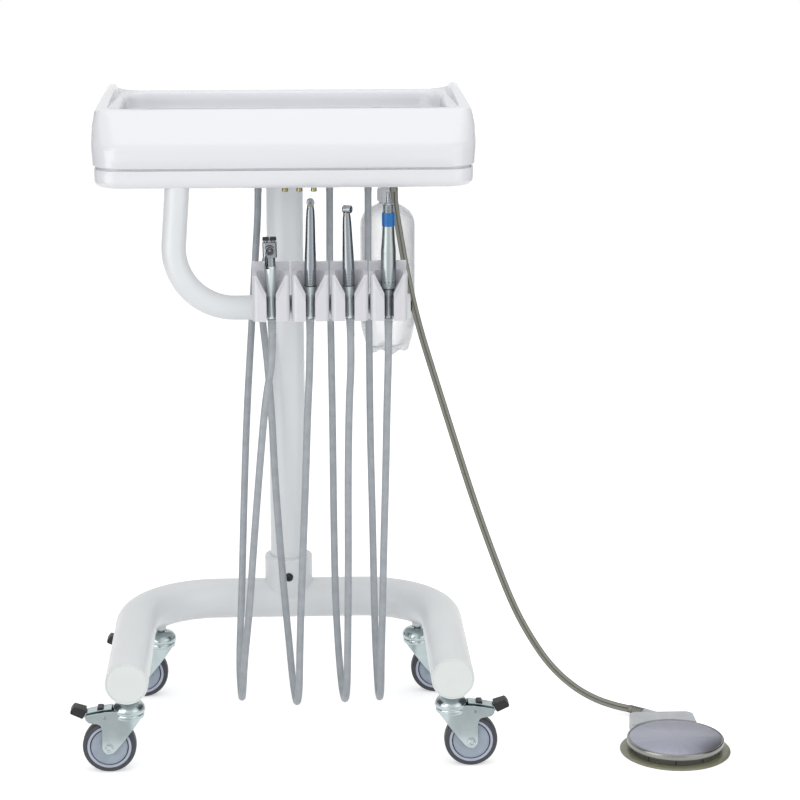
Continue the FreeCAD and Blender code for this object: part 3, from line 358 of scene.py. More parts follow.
def finish(name):
    """The named finish, made the first time that it is asked for."""
    if name not in FINISHES:
        c = colours()
        maker, *values = {
            "head_shell": (moulded_gloss, c.shell),
            "holder_shell": (moulded_gloss, c.holder),
            "tube_paint": (powder_paint, c.paint),
            "end_cap": (matte_moulding, c.cap, 0.42, 0.012),
            "zinc": (zinc_plate, c.zinc),
            "tyre": (soft_rubber, c.tyre, 0.55),
            "hub": (matte_moulding, c.hub, 0.42),
            "hub_ring": (matte_moulding, c.hub_ring, 0.4),
            "instrument": (satin_metal, c.steel, 0.16, 0.06),
            "syringe": (satin_metal, c.grey_alloy, 0.36, 0.06),
            "motor": (satin_metal, c.motor, 0.30, 0.06),
            "steel": (satin_metal, c.steel, 0.26, 0.08),
            "disc_rim": (satin_metal, c.rim, 0.26, 0.08, (0.06, 0.06, 1.0)),
            "blue_ring": (matte_moulding, c.blue, 0.34),
            "brass": (satin_metal, c.brass, 0.26, 0.08),
            "hose": (soft_rubber, c.hose, 0.46),
            "foot_hose": (rubber_with_painted_seam_shade, c.foot_hose, 0.4),
            "clear_liner": (clear_plastic, c.clear, 0.02, 0.14),
            "clear_bottle": (clear_plastic, c.bottle, 0.08, 0.7),
            "black": (matte_moulding, c.black, 0.45),
            "skirt": (matte_moulding, c.olive, 0.3),
            "disc": (turned_disc, c.disc),
            "housing": (matte_moulding, c.housing, 0.4),
            "drum": (matte_moulding, c.drum, 0.35),
        }[name]
        FINISHES[name] = maker(name, *values)
    return FINISHES[name]


# ------------------------------------------------------------------ forms
def upright(x, y, z=0.0, angle=0.0):
    """Place of a form that stands on its own Z axis; millimetres and degrees."""
    return Matrix.Translation(Vector((x, y, z)) * MM) @ Matrix.Rotation(math.radians(angle), 4, "Z")


def pointing(direction, x, y, z):
    """Place that turns Z to a direction."""
    turn = Vector(direction).to_track_quat("Z", "Y").to_matrix().to_4x4()
    return Matrix.Translation(Vector((x, y, z)) * MM) @ turn


def standing(index):
    """Place of a handpiece: up on its seat and leaning with its holder."""
    pivot = Vector((HOLDER_X[index], CUP_Y, SEAT_Z)) * MM
    lean = Matrix.Rotation(math.radians(-LEAN[index]), 4, "Y")
    lift = Matrix.Translation(Vector((HOLDER_X[index], CUP_Y, SEAT_LIFT)) * MM)
    return Matrix.Translation(pivot) @ lean @ Matrix.Translation(-pivot) @ lift


def placed(form, place):
    bmesh.ops.transform(form, matrix=place, verts=form.verts)
    return form


def mesh_of(name, form):
    mesh = bpy.data.meshes.new(name)
    form.to_mesh(mesh)
    form.free()
    return mesh


def merged(*forms):
    whole = bmesh.new()
    for form in forms:
        mesh = mesh_of("form", form)
        whole.from_mesh(mesh)
        bpy.data.meshes.remove(mesh)
    return whole


def only(kind, made):
    """The vertices or edges in what an operator made."""
    return [part for part in made if isinstance(part, kind)]


def turned(profile, steps=48):
    """Body of revolution about Z from (radius, height) pairs in millimetres."""
    form = bmesh.new()
    verts = [form.verts.new((r * MM, 0.0, h * MM)) for r, h in profile]
    edges = [form.edges.new(pair) for pair in zip(verts, verts[1:])]
    bmesh.ops.spin(form, geom=verts + edges, cent=(0, 0, 0), axis=(0, 0, 1),
                   angle=2 * math.pi, steps=steps, use_merge=True)
    bmesh.ops.remove_doubles(form, verts=form.verts, dist=SAME_POINT)
    return form


def hollow(profile, steps=48):
    """Body of revolution whose profile runs back to its first point."""
    return turned(profile + profile[:1], steps)


def pipe(inner, outer, low, high, steps=64):
    return hollow([(inner, low), (outer, low), (outer, high), (inner, high)], steps)


def rod(radius, low, high, steps=24):
    return turned([(0, low), (radius, low), (radius, high), (0, high)], steps)


def both_ways(half):
    """Profile of a half below the middle plane and its mirror image above it."""
    return half + [(r, -h) for r, h in reversed(half)]


def lifted(form, height):
    """Thickens every face upwards."""
    made = bmesh.ops.extrude_face_region(form, geom=form.faces[:])["geom"]
    bmesh.ops.translate(form, verts=only(bmesh.types.BMVert, made), vec=(0, 0, height * MM))
    return form


def extruded(form, edges):
    """Draws a new loop out of a loop of edges; returns its vertices and its edges."""
    made = bmesh.ops.extrude_edge_only(form, edges=edges)["geom"]
    verts = only(bmesh.types.BMVert, made)
    kept = set(verts)
    return verts, [edge for edge in only(bmesh.types.BMEdge, made) if set(edge.verts) <= kept]


def open_ring(radius, place):
    """A form with one open circle in it, and its edges."""
    form = bmesh.new()
    bmesh.ops.create_circle(form, segments=48, radius=radius * MM, cap_ends=False, matrix=place)
    return form, form.edges[:]


def run_straight(form, edges, vector):
    """Draws a tube's open end along a vector in millimetres; returns the new end."""
    verts, edges = extruded(form, edges)
    bmesh.ops.translate(form, verts=verts, vec=Vector(vector) * MM)
    return edges


def run_bend(form, edges, centre, axis, angle, steps):
    """Draws a tube's open end round an axis; returns the new end."""
    verts = list(dict.fromkeys(vert for edge in edges for vert in edge.verts))
    made = bmesh.ops.spin(form, geom=verts + edges, cent=Vector(centre) * MM, axis=axis, angle=angle, steps=steps)
    return only(bmesh.types.BMEdge, made["geom_last"])


def slab(outline, low, high, corners=()):
    """Flat plate from an outline in millimetres; corners gives each corner's radius."""
    form = bmesh.new()
    radii = list(corners) + [0.0] * (len(outline) - len(corners))
    rounded_face(form, [(x, y, low, radius) for (x, y), radius in zip(outline, radii)])
    return lifted(form, high - low)


def block(x0, x1, y0, y1, z0, z1, radius=0.0):
    outline = [(x0, y0), (x1, y0), (x1, y1), (x0, y1)]
    return slab(outline, z0, z1, [radius] * 4)


def side_slab(outline, y0, y1, corners=()):
    """Plate whose outline is given as (x, z), standing between two depths."""
    form = slab(outline, 0.0, y1 - y0, corners)
    stand = Matrix(((1, 0, 0, 0), (0, 0, 1, y0 * MM), (0, 1, 0, 0), (0, 0, 0, 1)))
    return placed(form, stand)


def rounded_face(form, corners, steps=6):
    """One flat face in an empty form; each corner is x, y, z and a radius, in millimetres."""
    verts = [form.verts.new(Vector(corner[:3]) * MM) for corner in corners]
    form.faces.new(verts)
    for vert, corner in zip(verts, corners):
        if corner[3]:
            bmesh.ops.bevel(form, geom=[vert], offset=corner[3] * MM, offset_type="OFFSET",
                            segments=steps, profile=0.5, affect="VERTICES", material=-1)
    return form.faces[:][0]


def rounded_loop(form, x0, x1, y0, y1, z, radius, cuts):
    """A rounded rectangle as a face in an empty form; cuts divide its short sides."""
    rounded_face(form, [(x, y, z, radius) for x, y in ((x0, y0), (x1, y0), (x1, y1), (x0, y1))], 9)
    sides = [e for e in form.edges if abs(e.verts[0].co.x - e.verts[1].co.x) < SAME_POINT
             and e.calc_length() > 0.4 * (y1 - y0) * MM]
    if cuts:
        bmesh.ops.bisect_edges(form, edges=sides, cuts=cuts)
    return form.faces[:][0]


def fitted(form, verts, old, new):
    """Stretches the loop from its old box to a new one; a box is x0, x1, y0, y1 and z."""
    x_scale = (new[1] - new[0]) / (old[1] - old[0])
    y_scale = (new[3] - new[2]) / (old[3] - old[2])
    back = Matrix.Translation(-Vector((old[0], old[2], old[4])) * MM)
    scale = Matrix.Diagonal((x_scale, y_scale, 1.0, 1.0))
    there = Matrix.Translation(Vector((new[0], new[2], new[4])) * MM)
    bmesh.ops.transform(form, matrix=there @ scale @ back, verts=verts)


def stacked(levels, radius, cuts=0, closed=(True, True)):
    """Skin over rounded outlines, each a box x0, x1, y0, y1 and z; returns the form and its loops."""
    form = bmesh.new()
    first = rounded_loop(form, *levels[0], radius, cuts)
    edges, loops = list(first.edges), [list(first.verts)]
    for old, new in zip(levels, levels[1:]):
        verts, edges = extruded(form, edges)
        fitted(form, verts, old, new)
        loops.append(verts)
    if closed[1]:
        bmesh.ops.edgeloop_fill(form, edges=edges)
    if not closed[0]:
        bmesh.ops.delete(form, geom=[first], context="FACES_ONLY")
    return form, loops


def swept(points, section):
    """Closed tube whose section follows the points; the section lies in side and normal."""
    form = bmesh.new()
    ring = [form.verts.new((a, b, 0.0)) for a, b in section]
    loop = list(form.faces.new(ring).edges)
    previous = Matrix.Identity(4)
    axis = (points[-1] - points[0]).cross(Vector((0, 0, 1))).normalized()
    for index, point in enumerate(points):
        before = points[max(index - 1, 0)]
        after = points[min(index + 1, len(points) - 1)]
        along = (after - before).normalized()
        side = axis.cross(along).normalized()
        level = along.cross(side)
        place = Matrix.Translation(point) @ Matrix((side, level, along)).transposed().to_4x4()
        if index == 0:
            bmesh.ops.transform(form, matrix=place, verts=ring)
        else:
            ring, loop = extruded(form, loop)
            bmesh.ops.transform(form, matrix=place @ previous.inverted(), verts=ring)
        previous = place
    bmesh.ops.edgeloop_fill(form, edges=loop)
    return form


def shown(name, mesh):
    """Puts a mesh in the scene as an object."""
    made = bpy.data.objects.new(name, mesh)
    bpy.context.scene.collection.objects.link(made)
    return made


def piece(name, form, material, body, source=None, bevel=0.0, sharp=CREASE):
    """Makes the object, lets it ride on its body, if it has one, and stand for its frame node."""
    bmesh.ops.remove_doubles(form, verts=form.verts, dist=SAME_FORM_POINT)
    bmesh.ops.recalc_face_normals(form, faces=form.faces)
    mesh = mesh_of(name, form)
    mesh.materials.append(finish(material))
    for face in mesh.polygons:
        face.use_smooth = True
    made = shown(name, mesh)
    if bevel:
        soft = made.modifiers.new("soft_edges", "BEVEL")
        soft.width = bevel
        soft.segments = 2
        soft.limit_method = "ANGLE"
        soft.angle_limit = math.radians(sharp)
        weigh = made.modifiers.new("flat_faces", "WEIGHTED_NORMAL")
        weigh.keep_sharp = True
    else:
        mesh.set_sharp_from_angle(angle=math.radians(sharp))
    if body:
        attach(made, body)
    if source:
        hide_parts(source)
    return made


def refined(name, source, material, bevel):
    """A merged copy of a frame node with its edges softened."""
    form = bmesh.new()
    form.from_mesh(frame["nodes"][source].data)
    bmesh.ops.remove_doubles(form, verts=form.verts, dist=SAME_NODE_POINT)
    bmesh.ops.dissolve_limit(form, angle_limit=math.radians(1.0), verts=form.verts,
                             edges=form.edges, use_dissolve_boundaries=False)
    piece(name, form, material, frame["nodes"][source]["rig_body"], source, bevel, MOULDED_CREASE)


def dressed(*sources):
    """Gives frame nodes that keep their shape a steel finish."""
    for source in sources:
        materials = frame["nodes"][source].data.materials
        materials.clear()
        materials.append(finish("steel"))


def walled(made, thickness, offset):
    """Gives a clear piece a wall, in millimetres."""
    wall = made.modifiers.new("wall", "SOLIDIFY")
    wall.thickness = thickness * MM
    wall.offset = offset


class BuildOperator:
    """What every builder of a piece shares."""
    bl_options = {"REGISTER", "UNDO"}

    def execute(self, context):
        self.build()
        return {"FINISHED"}


# ------------------------------------------------------------------ base
def u_tube():
    """The base tube: one leg, a bend, the cross tube, a bend and the other leg."""
    bend, quarter = 118.0, math.radians(-90)
    start = Matrix.Translation(Vector((-LEG_X, FRONT_Y, TUBE_Z)) * MM) @ Matrix.Rotation(math.radians(90), 4, "X")
    form, end = open_ring(30.0, start)
    end = run_straight(form, end, (0, -bend - FRONT_Y, 0))
    end = run_bend(form, end, (-LEG_X + bend, -bend, TUBE_Z), (0, 0, 1), quarter, 16)
    end = run_straight(form, end, (2 * (LEG_X - bend), 0, 0))
    end = run_bend(form, end, (LEG_X - bend, -bend, TUBE_Z), (0, 0, 1), quarter, 16)
    run_straight(form, end, (0, FRONT_Y + bend, 0))
    return form


def base_socket():
    """Socket of the column with the weld bead at its foot."""
    return hollow([(24, 150), (30, 150), (31.2, 152), (33, 158), (35.4, 164.6), (36, 168), (36, 206.5),
                   (35.4, 208.8), (33.6, 210), (27.4, 210), (27.4, 176), (24, 176)], 64)


class DENTALUNIT_OT_base(BuildOperator, Operator):
    """Base tube with its socket, bosses and end caps"""
    bl_idname = "dental_unit.base"
    bl_label = "Base"

    def build(self):
        bosses = [placed(turned([(0, 104.2), (6.6, 104.2), (8, 105.4), (8, 116), (0, 116)], 32), upright(x, y))
                  for x, y in STEMS.values()]
        for name, form in (("base_tube", u_tube()), ("base_socket", base_socket()), ("castor_bosses", merged(*bosses))):
            piece(name, form, "tube_paint", "cart", "base_frame")
        for side, name in ((-1, "left"), (1, "right")):
            cap = turned([(0, 2.2), (27.0, 2.2), (27.5, 1.5), (27.9, 1.5), (28.3, 2.7), (28.9, 3.0), (29.6, 2.7),
                          (30, 1.8), (30, -0.2), (27.4, -0.2), (27.4, -12), (0, -12)], 72)
            placed(cap, pointing((0, -1, 0), side * LEG_X, FRONT_Y, TUBE_Z))
            piece("base_cap_" + name, cap, "end_cap", "cart", "tube_end_caps", SMALL_EDGE)


# ------------------------------------------------------------------ column
class DENTALUNIT_OT_column(BuildOperator, Operator):
    """Column, its flange and its set screw"""
    bl_idname = "dental_unit.column"
    bl_label = "Column"

    def build(self):
        tube = pipe(24.5, 27, 176, PLATE_Z)
        collar = hollow([(27, 786), (29.4, 790.4), (31.5, PLATE_Z), (24.5, PLATE_Z), (24.5, 786)], 64)
        plate = block(-48, 48, -48, 28, PLATE_Z, PAN_Z, 12)
        piece("column_tube", merged(tube, collar), "tube_paint", "cart", "column")
        piece("column_flange", plate, "tube_paint", "cart", "column", PLATE_EDGE)
        screw = turned([(0, 1.0), (2.4, 1.0), (2.9, 2.1), (5.4, 2.5), (6.3, 1.7), (6.5, 0.4), (6.5, -8), (0, -8)], 32)
        placed(screw, pointing((0, -1, 0), 0.0, -36.0, 183.5))
        piece("column_set_screw", screw, "black", "cart", "socket_set_screw")


# ------------------------------------------------------------------ castors
def fork_outline(braked):
    """Side view of a fork plate as (x, z), and the radius of each corner."""
    foot = [(12, 84), (12, 41.5), (19, 33), (25, 28.2), (32.6, 28.8), (37.4, 36)]
    radii = [0, 0, 3, 5, 5, 4]
    if braked:
        return (foot + [(36.6, 66), (40, 73.2), (55.6, 75.4), (60, 80), (60, 86), (34, 91), (14, 92)],
                radii + [5, 5, 1.5, 1, 1, 6, 1])
    return foot + [(37.4, 66), (33, 84)], radii + [6, 3]


def wrapped_front():
    """Rounded front of the pressed fork: half an ellipse from plate to plate, cut along its slope."""
    form = bmesh.new()
    low = form.verts.new(Vector((0, 15, 24)) * MM)
    high = form.verts.new(Vector((0, 15, 83.4)) * MM)
    edge = form.edges.new((low, high))
    bmesh.ops.spin(form, geom=[low, high, edge], cent=(0, 0, 0), axis=(0, 0, 1), angle=math.pi, steps=24)
    placed(form, upright(12.6, 0) @ Matrix.Diagonal((32.0 / 15.0, 16.0 / 15.0, 1.0, 1.0)))
    bmesh.ops.bisect_plane(form, geom=form.verts[:] + form.edges[:] + form.faces[:], dist=1e-7,
                           plane_co=Vector((-18, 0, 79)) * MM, plane_no=Vector((45, 0, 36)).normalized(),
                           clear_inner=True)
    bmesh.ops.recalc_face_normals(form, faces=form.faces)
    bmesh.ops.solidify(form, geom=form.faces[:], thickness=2.2 * MM)
    return form


def swivel_housing():
    """Two pressed races: the lower ring, a groove and the domed upper shell."""
    return hollow([(5.7, 79), (20.4, 79), (21.3, 79.8), (21.6, 81.5), (21.6, 84.2), (21.0, 85.4), (20.6, 86.0),
                   (21.4, 86.6), (22.6, 87.8), (23.0, 89.6), (23.0, 91.6), (22.4, 94.2), (20.8, 97.0), (18.4, 99.4),
                   (15.4, 101.0), (12, 101.8), (8.6, 102), (8.2, 101), (5.7, 101)], 56)


def brake_pad():
    """Moulded pad at the tip of the brake lever, with a grip of raised ribs."""
    outline = [(58.8, 92.0), (60.4, 85.6), (64.4, 79.4), (81.6, 87.6), (81.0, 91), (76.2, 97.4)]
    body = side_slab(outline, -10.0, 10.0, [1.5, 3, 1.6, 2.0, 3, 2.6])
    slope = Matrix.Rotation(math.radians(-17.0), 4, "Y")
    ribs = [placed(block(-0.8, 0.8, -8.6, 8.6, -0.5, 0.7), upright(61.6 + 3.3 * k, 0, 93.0 + 1.0 * k) @ slope)
            for k in range(5)]
    return merged(body, *ribs)


def brake_release():
    """Small black block on top of the lever, by its pivot."""
    return side_slab([(35, 86), (43.6, 85), (43.6, 94.2), (42.4, 95.4), (36.4, 95.4), (35, 94.2)], -8.0, 8.0,
                     [0.6, 0.6, 1, 1, 1, 1])


def brake_link():
    """Plated lever between the pivot and the pad: two cheeks and the web over them."""
    outline = [(23.5, 88.2), (30, 80.2), (37, 79.2), (45, 84), (60.4, 80.6), (62.4, 82), (61.4, 88.0), (44, 91.6),
               (23.5, 94.8)]
    cheeks = [side_slab(outline, y, y + 1.6, [1, 3, 3, 6, 1, 1, 1, 1, 1]) for y in (-9.8, 8.2)]
    web = side_slab([(23.5, 92.9), (44, 89.6), (60.6, 86.4), (60.6, 88.0), (44, 91.2), (23.5, 94.5)], -9.0, 9.0)
    return merged(*cheeks, web)


class DENTALUNIT_OT_castors(BuildOperator, Operator):
    """Four castors: fork, wheel, axle and brake"""
    bl_idname = "dental_unit.castors"
    bl_label = "Castors"

    def build(self):
        for name, (x, y) in STEMS.items():
            stand = upright(x, y, 0, 0 if x > 0 else 180)
            self.fork(name, stand)
            self.wheel(name, stand)
            if name != UNBRAKED:
                self.brake(name, stand)
        stems = [placed(turned([(0, 74), (8, 74), (9, 75), (9, 78.7), (5.5, 78.7), (5.5, 104), (0, 104)], 32),
                        upright(x, y)) for x, y in STEMS.values()]
        piece("castor_kingpins", merged(*stems), "zinc", "cart", "castor_stems", SMALL_EDGE)

    def fork(self, name, stand):
        outline, radii = fork_outline(name != UNBRAKED)
        plates = [side_slab(outline, y, y + 2.4, radii) for y in (-16.0, 13.6)]
        crown = block(-16, 27, -15.0, 15.0, 79, 83.4, 3)
        edge = sizes().sheet_edge
        for part, form, bevel in (("fork_plates", merged(*plates, crown), edge), ("fork_front", wrapped_front(), 0.0),
                                  ("swivel_housing", swivel_housing(), edge)):
            piece("%s_%s" % (name, part), placed(form, stand), "zinc", "castor_" + name, name + "_fork", bevel)

    def wheel(self, name, stand):
        spin = stand @ pointing((0, 1, 0), TRAIL, 0, AXLE_Z)
        tyre = hollow(both_ways([(30.9, -10.4), (31.6, -11), (34.6, -11), (36.2, -10.2), (37.1, -8.4),
                                 (37.5, -5.4)]), 72)
        ring = hollow(both_ways([(27.0, -9.6), (27.6, -10.6), (30.9, -10.6)]), 64)
        centre = hollow(both_ways([(4.1, -12), (9.4, -12), (10, -11.4), (10.6, -10.2), (24.3, -10.2), (24.6, -10.8),
                                   (25.2, -10.8), (25.6, -10.2)]), 64)
        for part, form, material, source, slot, bevel in (
                ("tyre_tread", tyre, "tyre", "_tyre", "tyre_rubber", 0.0),
                ("hub_ring", ring, "hub_ring", "_hub", "hub_plastic", HUB_EDGE),
                # The groove floor is black: painted shade in the narrow groove between the ring and the centre.
                ("hub_groove_shade", pipe(25.4, 27.1, -8.0, 8.0), "black", "_hub", "hub_plastic", 0.0),
                ("hub_centre", centre, "hub", "_hub", "hub_plastic", 0.0)):
            piece("%s_%s" % (name, part), placed(form, spin), material, "wheel_" + name, name + source, bevel)
        bolt = [rod(4, -17, 17)] + [pipe(4, 7, 16 * s, 16.9 * s, 32) for s in (-1, 1)]
        bolt += [turned([(0, 16.9 * s), (5.8, 16.9 * s), (5.8, 18.2 * s), (4.9, 18.95 * s), (3.1, 18.95 * s),
                         (2.7, 17.2 * s), (0, 17.2 * s)], 6) for s in (-1, 1)]
        piece(name + "_axle_bolt", placed(merged(*bolt), spin), "zinc", "castor_" + name, name + "_axle",
              METAL_EDGE)

    def brake(self, name, stand):
        pivot = stand @ pointing((0, 1, 0), *BRAKE_PIVOT)
        pin = placed(turned(both_ways([(0, -16.9), (1.2, -16.9), (2.4, -16.3)]), 20), pivot)
        hub = placed(rod(4, -13.3, 13.3), pivot)
        for part, form, material, slot, bevel in (
                ("pad", placed(merged(brake_pad(), brake_release()), stand), "black", "black_plastic",
                 sizes().edge * 0.6),
                ("link", placed(brake_link(), stand), "zinc", "zinc", sizes().sheet_edge),
                ("pin", merged(pin, hub), "steel", "zinc", SMALL_EDGE)):
            piece("%s_brake_%s" % (name, part), form, material, "brake_" + name, name + "_brake", bevel)


# ------------------------------------------------------------------ head
# Depth, and height of the cheeks over the rim there.
CREST = ((-110.0, 0.0), (-92.0, 3.6), (-70.0, 9.0), (-50.0, 13.4), (-30.0, 17.0), (-10.0, 19.8), (10.0, 21.0),
         (30.0, 20.7), (50.0, 19.2), (75.0, 15.2), (95.0, 10.6), (110.0, 5.4), (122.0, 0.6))

# First loops of the cover that its squared slope and its cheeks take in.
SLOPE_LEVEL, CHEEK_LEVEL = 12, 16
HEAD_CORNER, SIDE_CUTS = 42.0, 14
# The cheeks begin at this half width and are full that much further out.
CHEEK_START, CHEEK_RUN, CHEEK_TOP = 215.0, 20.0, 21.0
CHEEK_INSET, STEEP_RISE, STEEP_INSET = 5.0, 12.0, 12.0
FRONT_LIP_Z = 901.6


def share_of(value, low, high):
    """How far a value is from low to high, held between nought and one."""
    return min(1.0, max(0.0, (value - low) / (high - low)))


def crest_rise(y):
    """Height of the cheeks over the rim at a depth, in millimetres."""
    for (y0, h0), (y1, h1) in zip(CREST, CREST[1:]):
        if y0 <= y <= y1:
            return h0 + (h1 - h0) * (y - y0) / (y1 - y0)
    return 0.0


def cheek_lean(rise):
    """How far the cheek leans in for its rise: little at first, then as much as it rises."""
    if rise < STEEP_RISE:
        return rise * (STEEP_INSET - CHEEK_INSET) / STEEP_RISE
    return STEEP_INSET - CHEEK_INSET + rise - STEEP_RISE


def raised(verts, share, lean_range):
    """Lifts a loop to its share of the cheeks and draws its sides inwards."""
    for vert in verts:
        x, y = vert.co.x / MM, vert.co.y / MM
        blend = share_of(abs(x), CHEEK_START, CHEEK_START + CHEEK_RUN)
        rise = crest_rise(y) * blend
        if lean_range is None:
            lean = cheek_lean(rise * share)
        else:
            lean = lean_range[0] + (lean_range[1] - lean_range[0]) * rise / CHEEK_TOP
        vert.co.z += rise * share * MM
        vert.co.x -= math.copysign(lean * blend, x) * MM


def squared(verts, box, growth):
    """Draws the two front corners of a rounded loop out towards a sharp corner."""
    half, front, depth = box[1], box[2], box[3] - box[2]
    wide, deep = HEAD_CORNER * half / 264.5, HEAD_CORNER * depth / 292.0
    for vert in verts:
        across = (abs(vert.co.x) / MM - (half - wide)) / wide
        ahead = (front + deep - vert.co.y / MM) / deep
        if across > 0 and ahead > 0:
            vert.co.x = math.copysign(half - wide + wide * min(1.0, across * growth), vert.co.x) * MM
            vert.co.y = (front + deep - deep * min(1.0, ahead * growth)) * MM


def opened(verts, amount):
    """Moves the sides of a recess loop outwards, most at the front."""
    for vert in verts:
        x, y = vert.co.x / MM, vert.co.y / MM
        vert.co.x += math.copysign(amount * share_of(abs(x), 200.0, 230.0) * share_of(-y, -50.0, 100.0), x) * MM


def head_cover():
    outer = [(-271 + side, 271 - side, -175 + front, 131 - rear, z) for z, side, front, rear in (
        (835, 6.5, 7, 7), (827, 6, 6.5, 6.5), (826.1, 4.4, 5, 5), (826.2, 2.6, 3.2, 3.2), (827.6, 1.5, 2, 2),
        (840, 0.7, 1.0, 1.0), (849, 0.2, 0.25, 0.25), (853.6, 0.05, 0.6, 0), (857, 0, 1.9, 0),
        (859.8, 0.05, 4.2, 0), (862.6, 0.1, 7.6, 0), (866.4, 0.2, 12.9, 0), (880, 1.0, 33, 0),
        (893, 3.3, 54, 0.7), (898.6, 4.6, 62.6, 1.0), (900.0, 5.0, 65.6, 1.8), (900.4, 5.0, 67.0, 3.2),
        (900.5, 5.0, 68.2, 4.6), (900.5, 5.0, 69.2, 5.6), (900.5, 5.0, 70.4, 6.8), (900.5, 5.0, 71.4, 8.0))]
    recess = [(-x, x, y0, y1, z) for x, y0, y1, z in (
        (241.6, -104.6, 119.0, 900.7), (240.6, -104.2, 115.0, 900.2), (239.4, -103.6, 112.6, 899.2),
        (237.4, -102.0, 110.6, 897.4), (235.4, -100.2, 108.6, 894.6), (233.6, -98.6, 107.0, 891.0),
        (232.2, -97.2, 106.2, 886.0), (231.9, -96.9, 105.9, 879.0),
        (231.0, -96.0, 105.0, 876.9), (228.5, -93.5, 102.5, 876.0))]
    levels = outer + recess
    form, loops = stacked(levels, HEAD_CORNER, SIDE_CUTS)
    growth = [1.08, 1.16, 1.24] + [1.3] * len(levels)
    for loop, level, amount in zip(loops[SLOPE_LEVEL:], levels[SLOPE_LEVEL:], growth):
        squared(loop, level, amount)
    for loop, share, lean in zip(loops[CHEEK_LEVEL:], (0.5, 0.86, 0.985, 0.985, 0.84),
                                 (None, None, None, (13, 19.8), (16, 22.6))):
        raised(loop, share, lean)
    for loop, amount in zip(loops[len(outer):], (9.0, 9.0, 8.6, 7.6, 6.0, 4.0, 1.5)):
        opened(loop, amount)
    return form


def head_pan():
    steps = ((797.0, 10.0), (797.3, 7.4), (798.4, 4.6), (800.4, 2.3), (803.4, 0.7), (807.0, 0.0), (821.8, 0.0),
             (822.7, 0.35), (823.0, 1.2), (823.0, 4.5), (829.0, 4.5))
    return stacked([(-267 + d, 267 - d, -171 + d, 127 - d, z) for z, d in steps], 32)[0]


def clear_liner():
    levels = [(-x, x, y0, y1, z) for x, y0, y1, z in (
        (240.0, -103.6, 120.4, 903.4), (240.0, -103.6, 120.4, 902.2), (239.4, -103.2, 116.0, 901.4),
        (238.4, -102.4, 112.4, 900.2), (236.4, -100.8, 110.0, 898.2), (234.4, -99.0, 107.8, 895.0),
        (232.6, -97.4, 106.2, 891.2), (231.2, -96.2, 105.4, 886.2), (231.0, -96.0, 105.0, 880.0),
        (230.2, -95.2, 104.2, 877.9), (227.0, -92.0, 101.0, 877.3))]
    form, loops = stacked(levels, HEAD_CORNER, SIDE_CUTS, (False, True))
    for loop, level, amount in zip(loops, levels, (9.0, 9.0, 8.8, 8.4, 7.4, 5.8, 3.8, 1.4, 0, 0, 0)):
        squared(loop, level, 1.3)
        opened(loop, amount)
    for vert in loops[0] + loops[1]:
        rise = (vert.co.z / MM - FRONT_LIP_Z) * share_of(vert.co.y / MM, -85.0, -25.0)
        vert.co.z = (FRONT_LIP_Z + rise) * MM
    return form


def hanging_screw(x, y, z):
    """Cross-recess screw whose head hangs below a surface."""
    head = turned([(0, 1.4), (1.0, 1.4), (1.5, 2.6), (3.4, 2.9), (4.3, 2.0), (4.5, 0.0), (0, 0.0)], 24)
    return placed(head, pointing((0, 0, -1), x, y, z))


class DENTALUNIT_OT_head(BuildOperator, Operator):
    """Head cover, pan, clear liner, screws and what stands inside"""
    bl_idname = "dental_unit.head"
    bl_label = "Head"

    def build(self):
        piece("head_cover_shell", head_cover(), "head_shell", "cart", "head_cover")
        piece("head_pan_shell", head_pan(), "head_shell", "cart", "head_pan")
        liner = piece("clear_tray_liner", clear_liner(), "clear_liner", "liner", "tray_liner",
                      sharp=TUBE_CREASE)
        walled(liner, 1.2, 0.0)
        screws = [hanging_screw(side * 185.0, y, PAN_Z) for side in (-1, 1) for y in (-130.0, 96.0)]
        screws += [hanging_screw(side * 37.0, y, PLATE_Z) for side in (-1, 1) for y in (-37.0, 17.0)]
        piece("underside_screws", merged(*screws), "steel", "cart", "head_screws", METAL_EDGE)
        dressed("chassis_plate", "control_block", "air_regulator")
        side_screw = turned([(0, 1.3), (1.2, 1.3), (1.7, 2.0), (2.6, 1.7), (3.0, 0.6), (3.0, -1.0), (0, -1.0)], 24)
        placed(side_screw, pointing((0.1, -1, 0), 248.0, -159.0, 812.0))
        piece("pan_side_screw", side_screw, "steel", "cart", None)


# ------------------------------------------------------------------ fittings below the head
class DENTALUNIT_OT_fittings(BuildOperator, Operator):
    """Brass supply fittings and the glands of the hoses"""
    bl_idname = "dental_unit.fittings"
    bl_label = "Fittings"

    def build(self):
        barbs = []
        for x in INLET_X:
            barb = hollow([(2, 778.6), (3.9, 778.6), (4.4, 779.4), (4.4, 782.2), (4.0, 782.6), (4.4, 785.6),
                           (4.0, 786.0), (4.4, 789.2), (4.0, 789.6), (4.4, 793.0), (4.2, 795), (2, 795)], 32)
            collar = hollow([(2, 794.8), (6.3, 794.8), (6.5, 795.2), (6.5, PAN_Z), (2, PAN_Z)], 6)
            barbs += [placed(form, upright(x, INLET_Y)) for form in (barb, collar)]
        piece("brass_barbs", merged(*barbs), "brass", "cart", "brass_inlets", METAL_EDGE)
        glands = []
        for x, y in GLANDS:
            nut = hollow([(5.4, 785), (7, 785), (8.4, 786.6), (9, 789), (9, 792.4), (8.4, 792.8), (5.4, 792.8)], 32)
            glands += [placed(form, upright(x, y)) for form in (nut, pipe(5.4, 9, 792.6, PAN_Z, 6))]
        piece("gland_nuts", merged(*glands), "black", "cart", "hose_glands", SMALL_EDGE)


